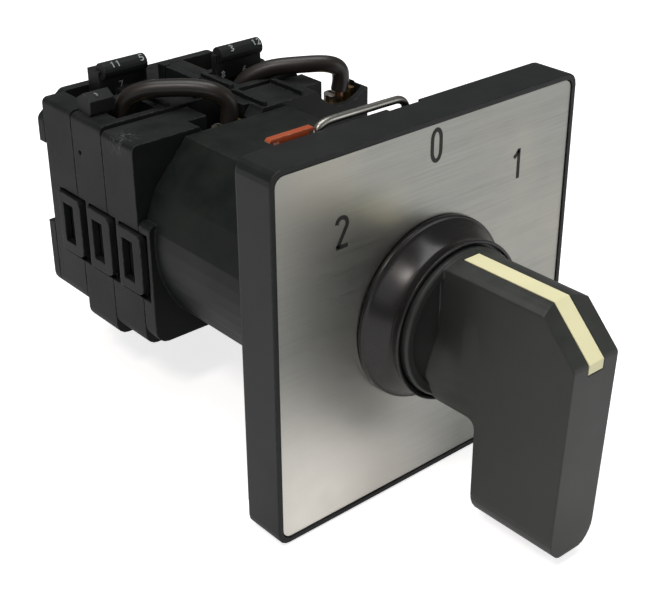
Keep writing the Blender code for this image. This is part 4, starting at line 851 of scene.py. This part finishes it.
foot_ahead, hub_overlap, hub_length, hub_reach = 7.2, 0.6, 6.6, 1.35
hub_back = legend_front - (foot_ahead - hub_overlap) * mm
hub_top, hub_foot = 7.0, -11.45
swell_start, swell_full, swell_falls, swell_end = 1.0, -5.9, -8.4, -11.55
blade_level, hub_least, hub_root = 4.58, 4.4, 3.6
hub_width, hub_widening, hub_proud = 4.5, 2.8, 0.06
upper_cut, upper_reach, lower_cut, lower_reach = 0.10, 1.0, 0.30, 1.2
join_softness, foot_fade, top_fade, end_fade = 0.55, 1.2, 6.0, 0.6
hub_rows, hub_columns = 64, 90


def flank(share, up):
    """How far out the handle's side stands where its hub swells towards the foot, in millimetres."""
    wide = hub_width + hub_widening * (1 - min(share, 1.0)) ** 2
    if up > swell_full:
        swell = hub_least + (wide - hub_least) * (swell_start - up) / (swell_start - swell_full)
    elif up > swell_falls:
        swell = wide
    else:
        swell = wide + (hub_least - wide) * (swell_falls - up) / (swell_falls - swell_end)
    upper_edge = upper_cut * max(0.0, 1 - abs(up - swell_full) / upper_reach)
    lower_edge = lower_cut * max(0.0, 1 - abs(up - swell_falls) / lower_reach)
    swell += hub_proud - upper_edge - lower_edge
    soft = join_softness * min(1.0, max(0.0, (up - hub_foot) / foot_fade))
    soft *= min(1.0, (hub_top - up) / top_fade) * min(1.0, (hub_reach - share) / end_fade)
    return (blade_level + swell + math.sqrt((blade_level - swell) ** 2 + soft ** 2)) / 2


for side, label in ((-1, "left"), (1, "right")):
    shape = bmesh.new()
    rows = []
    for i in range(hub_rows + 1):
        share = i / hub_rows * hub_reach
        place = hub_back - share * hub_length * mm
        row = []
        for j in range(hub_columns + 1):
            up = hub_top + (hub_foot - hub_top) * j / hub_columns
            row.append(shape.verts.new((side * flank(share, up) * mm, place, up * mm)))
        for up in (hub_foot, hub_top):
            row.append(shape.verts.new((side * hub_root * mm, place, up * mm)))
        rows.append(row)
    for near, far in zip(rows, rows[1:]):
        wall_between(shape, near, far)
    shape.faces.new(rows[0])
    shape.faces.new(rows[-1])
    hub_flank = stand_piece("hub_flank_" + label, shape, handle_black, rounded=True)
    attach(hub_flank, "rotor")
dress("handle_screw", screw_steel)
stripe_cream = moulded_plastic(
    "stripe_cream", colour=(1.0, 0.96, 0.60), pale=(0.66, 0.52, 0.26), dust_colour=(0.72, 0.62, 0.36),
    roughness=0.42, dusty=0.02, worn=0.4, peel=0.15, radius=0.15, shade=0.93,
)
dress("index_stripe", stripe_cream)

# The square steel shaft that the handle turns: drawn 6 mm bar that runs from the handle's socket
# through the detent wheel and the cams to its bearing in the rear cover.
shaft_steel = drawn_metal(
    "shaft_steel", bright=(0.50, 0.50, 0.50), dull=(0.30, 0.30, 0.29), smoothest=0.26, roughest=0.40,
    fine=1600.0, length=1.0, worn=0.4,
)
dress("drive_shaft", shaft_steel)
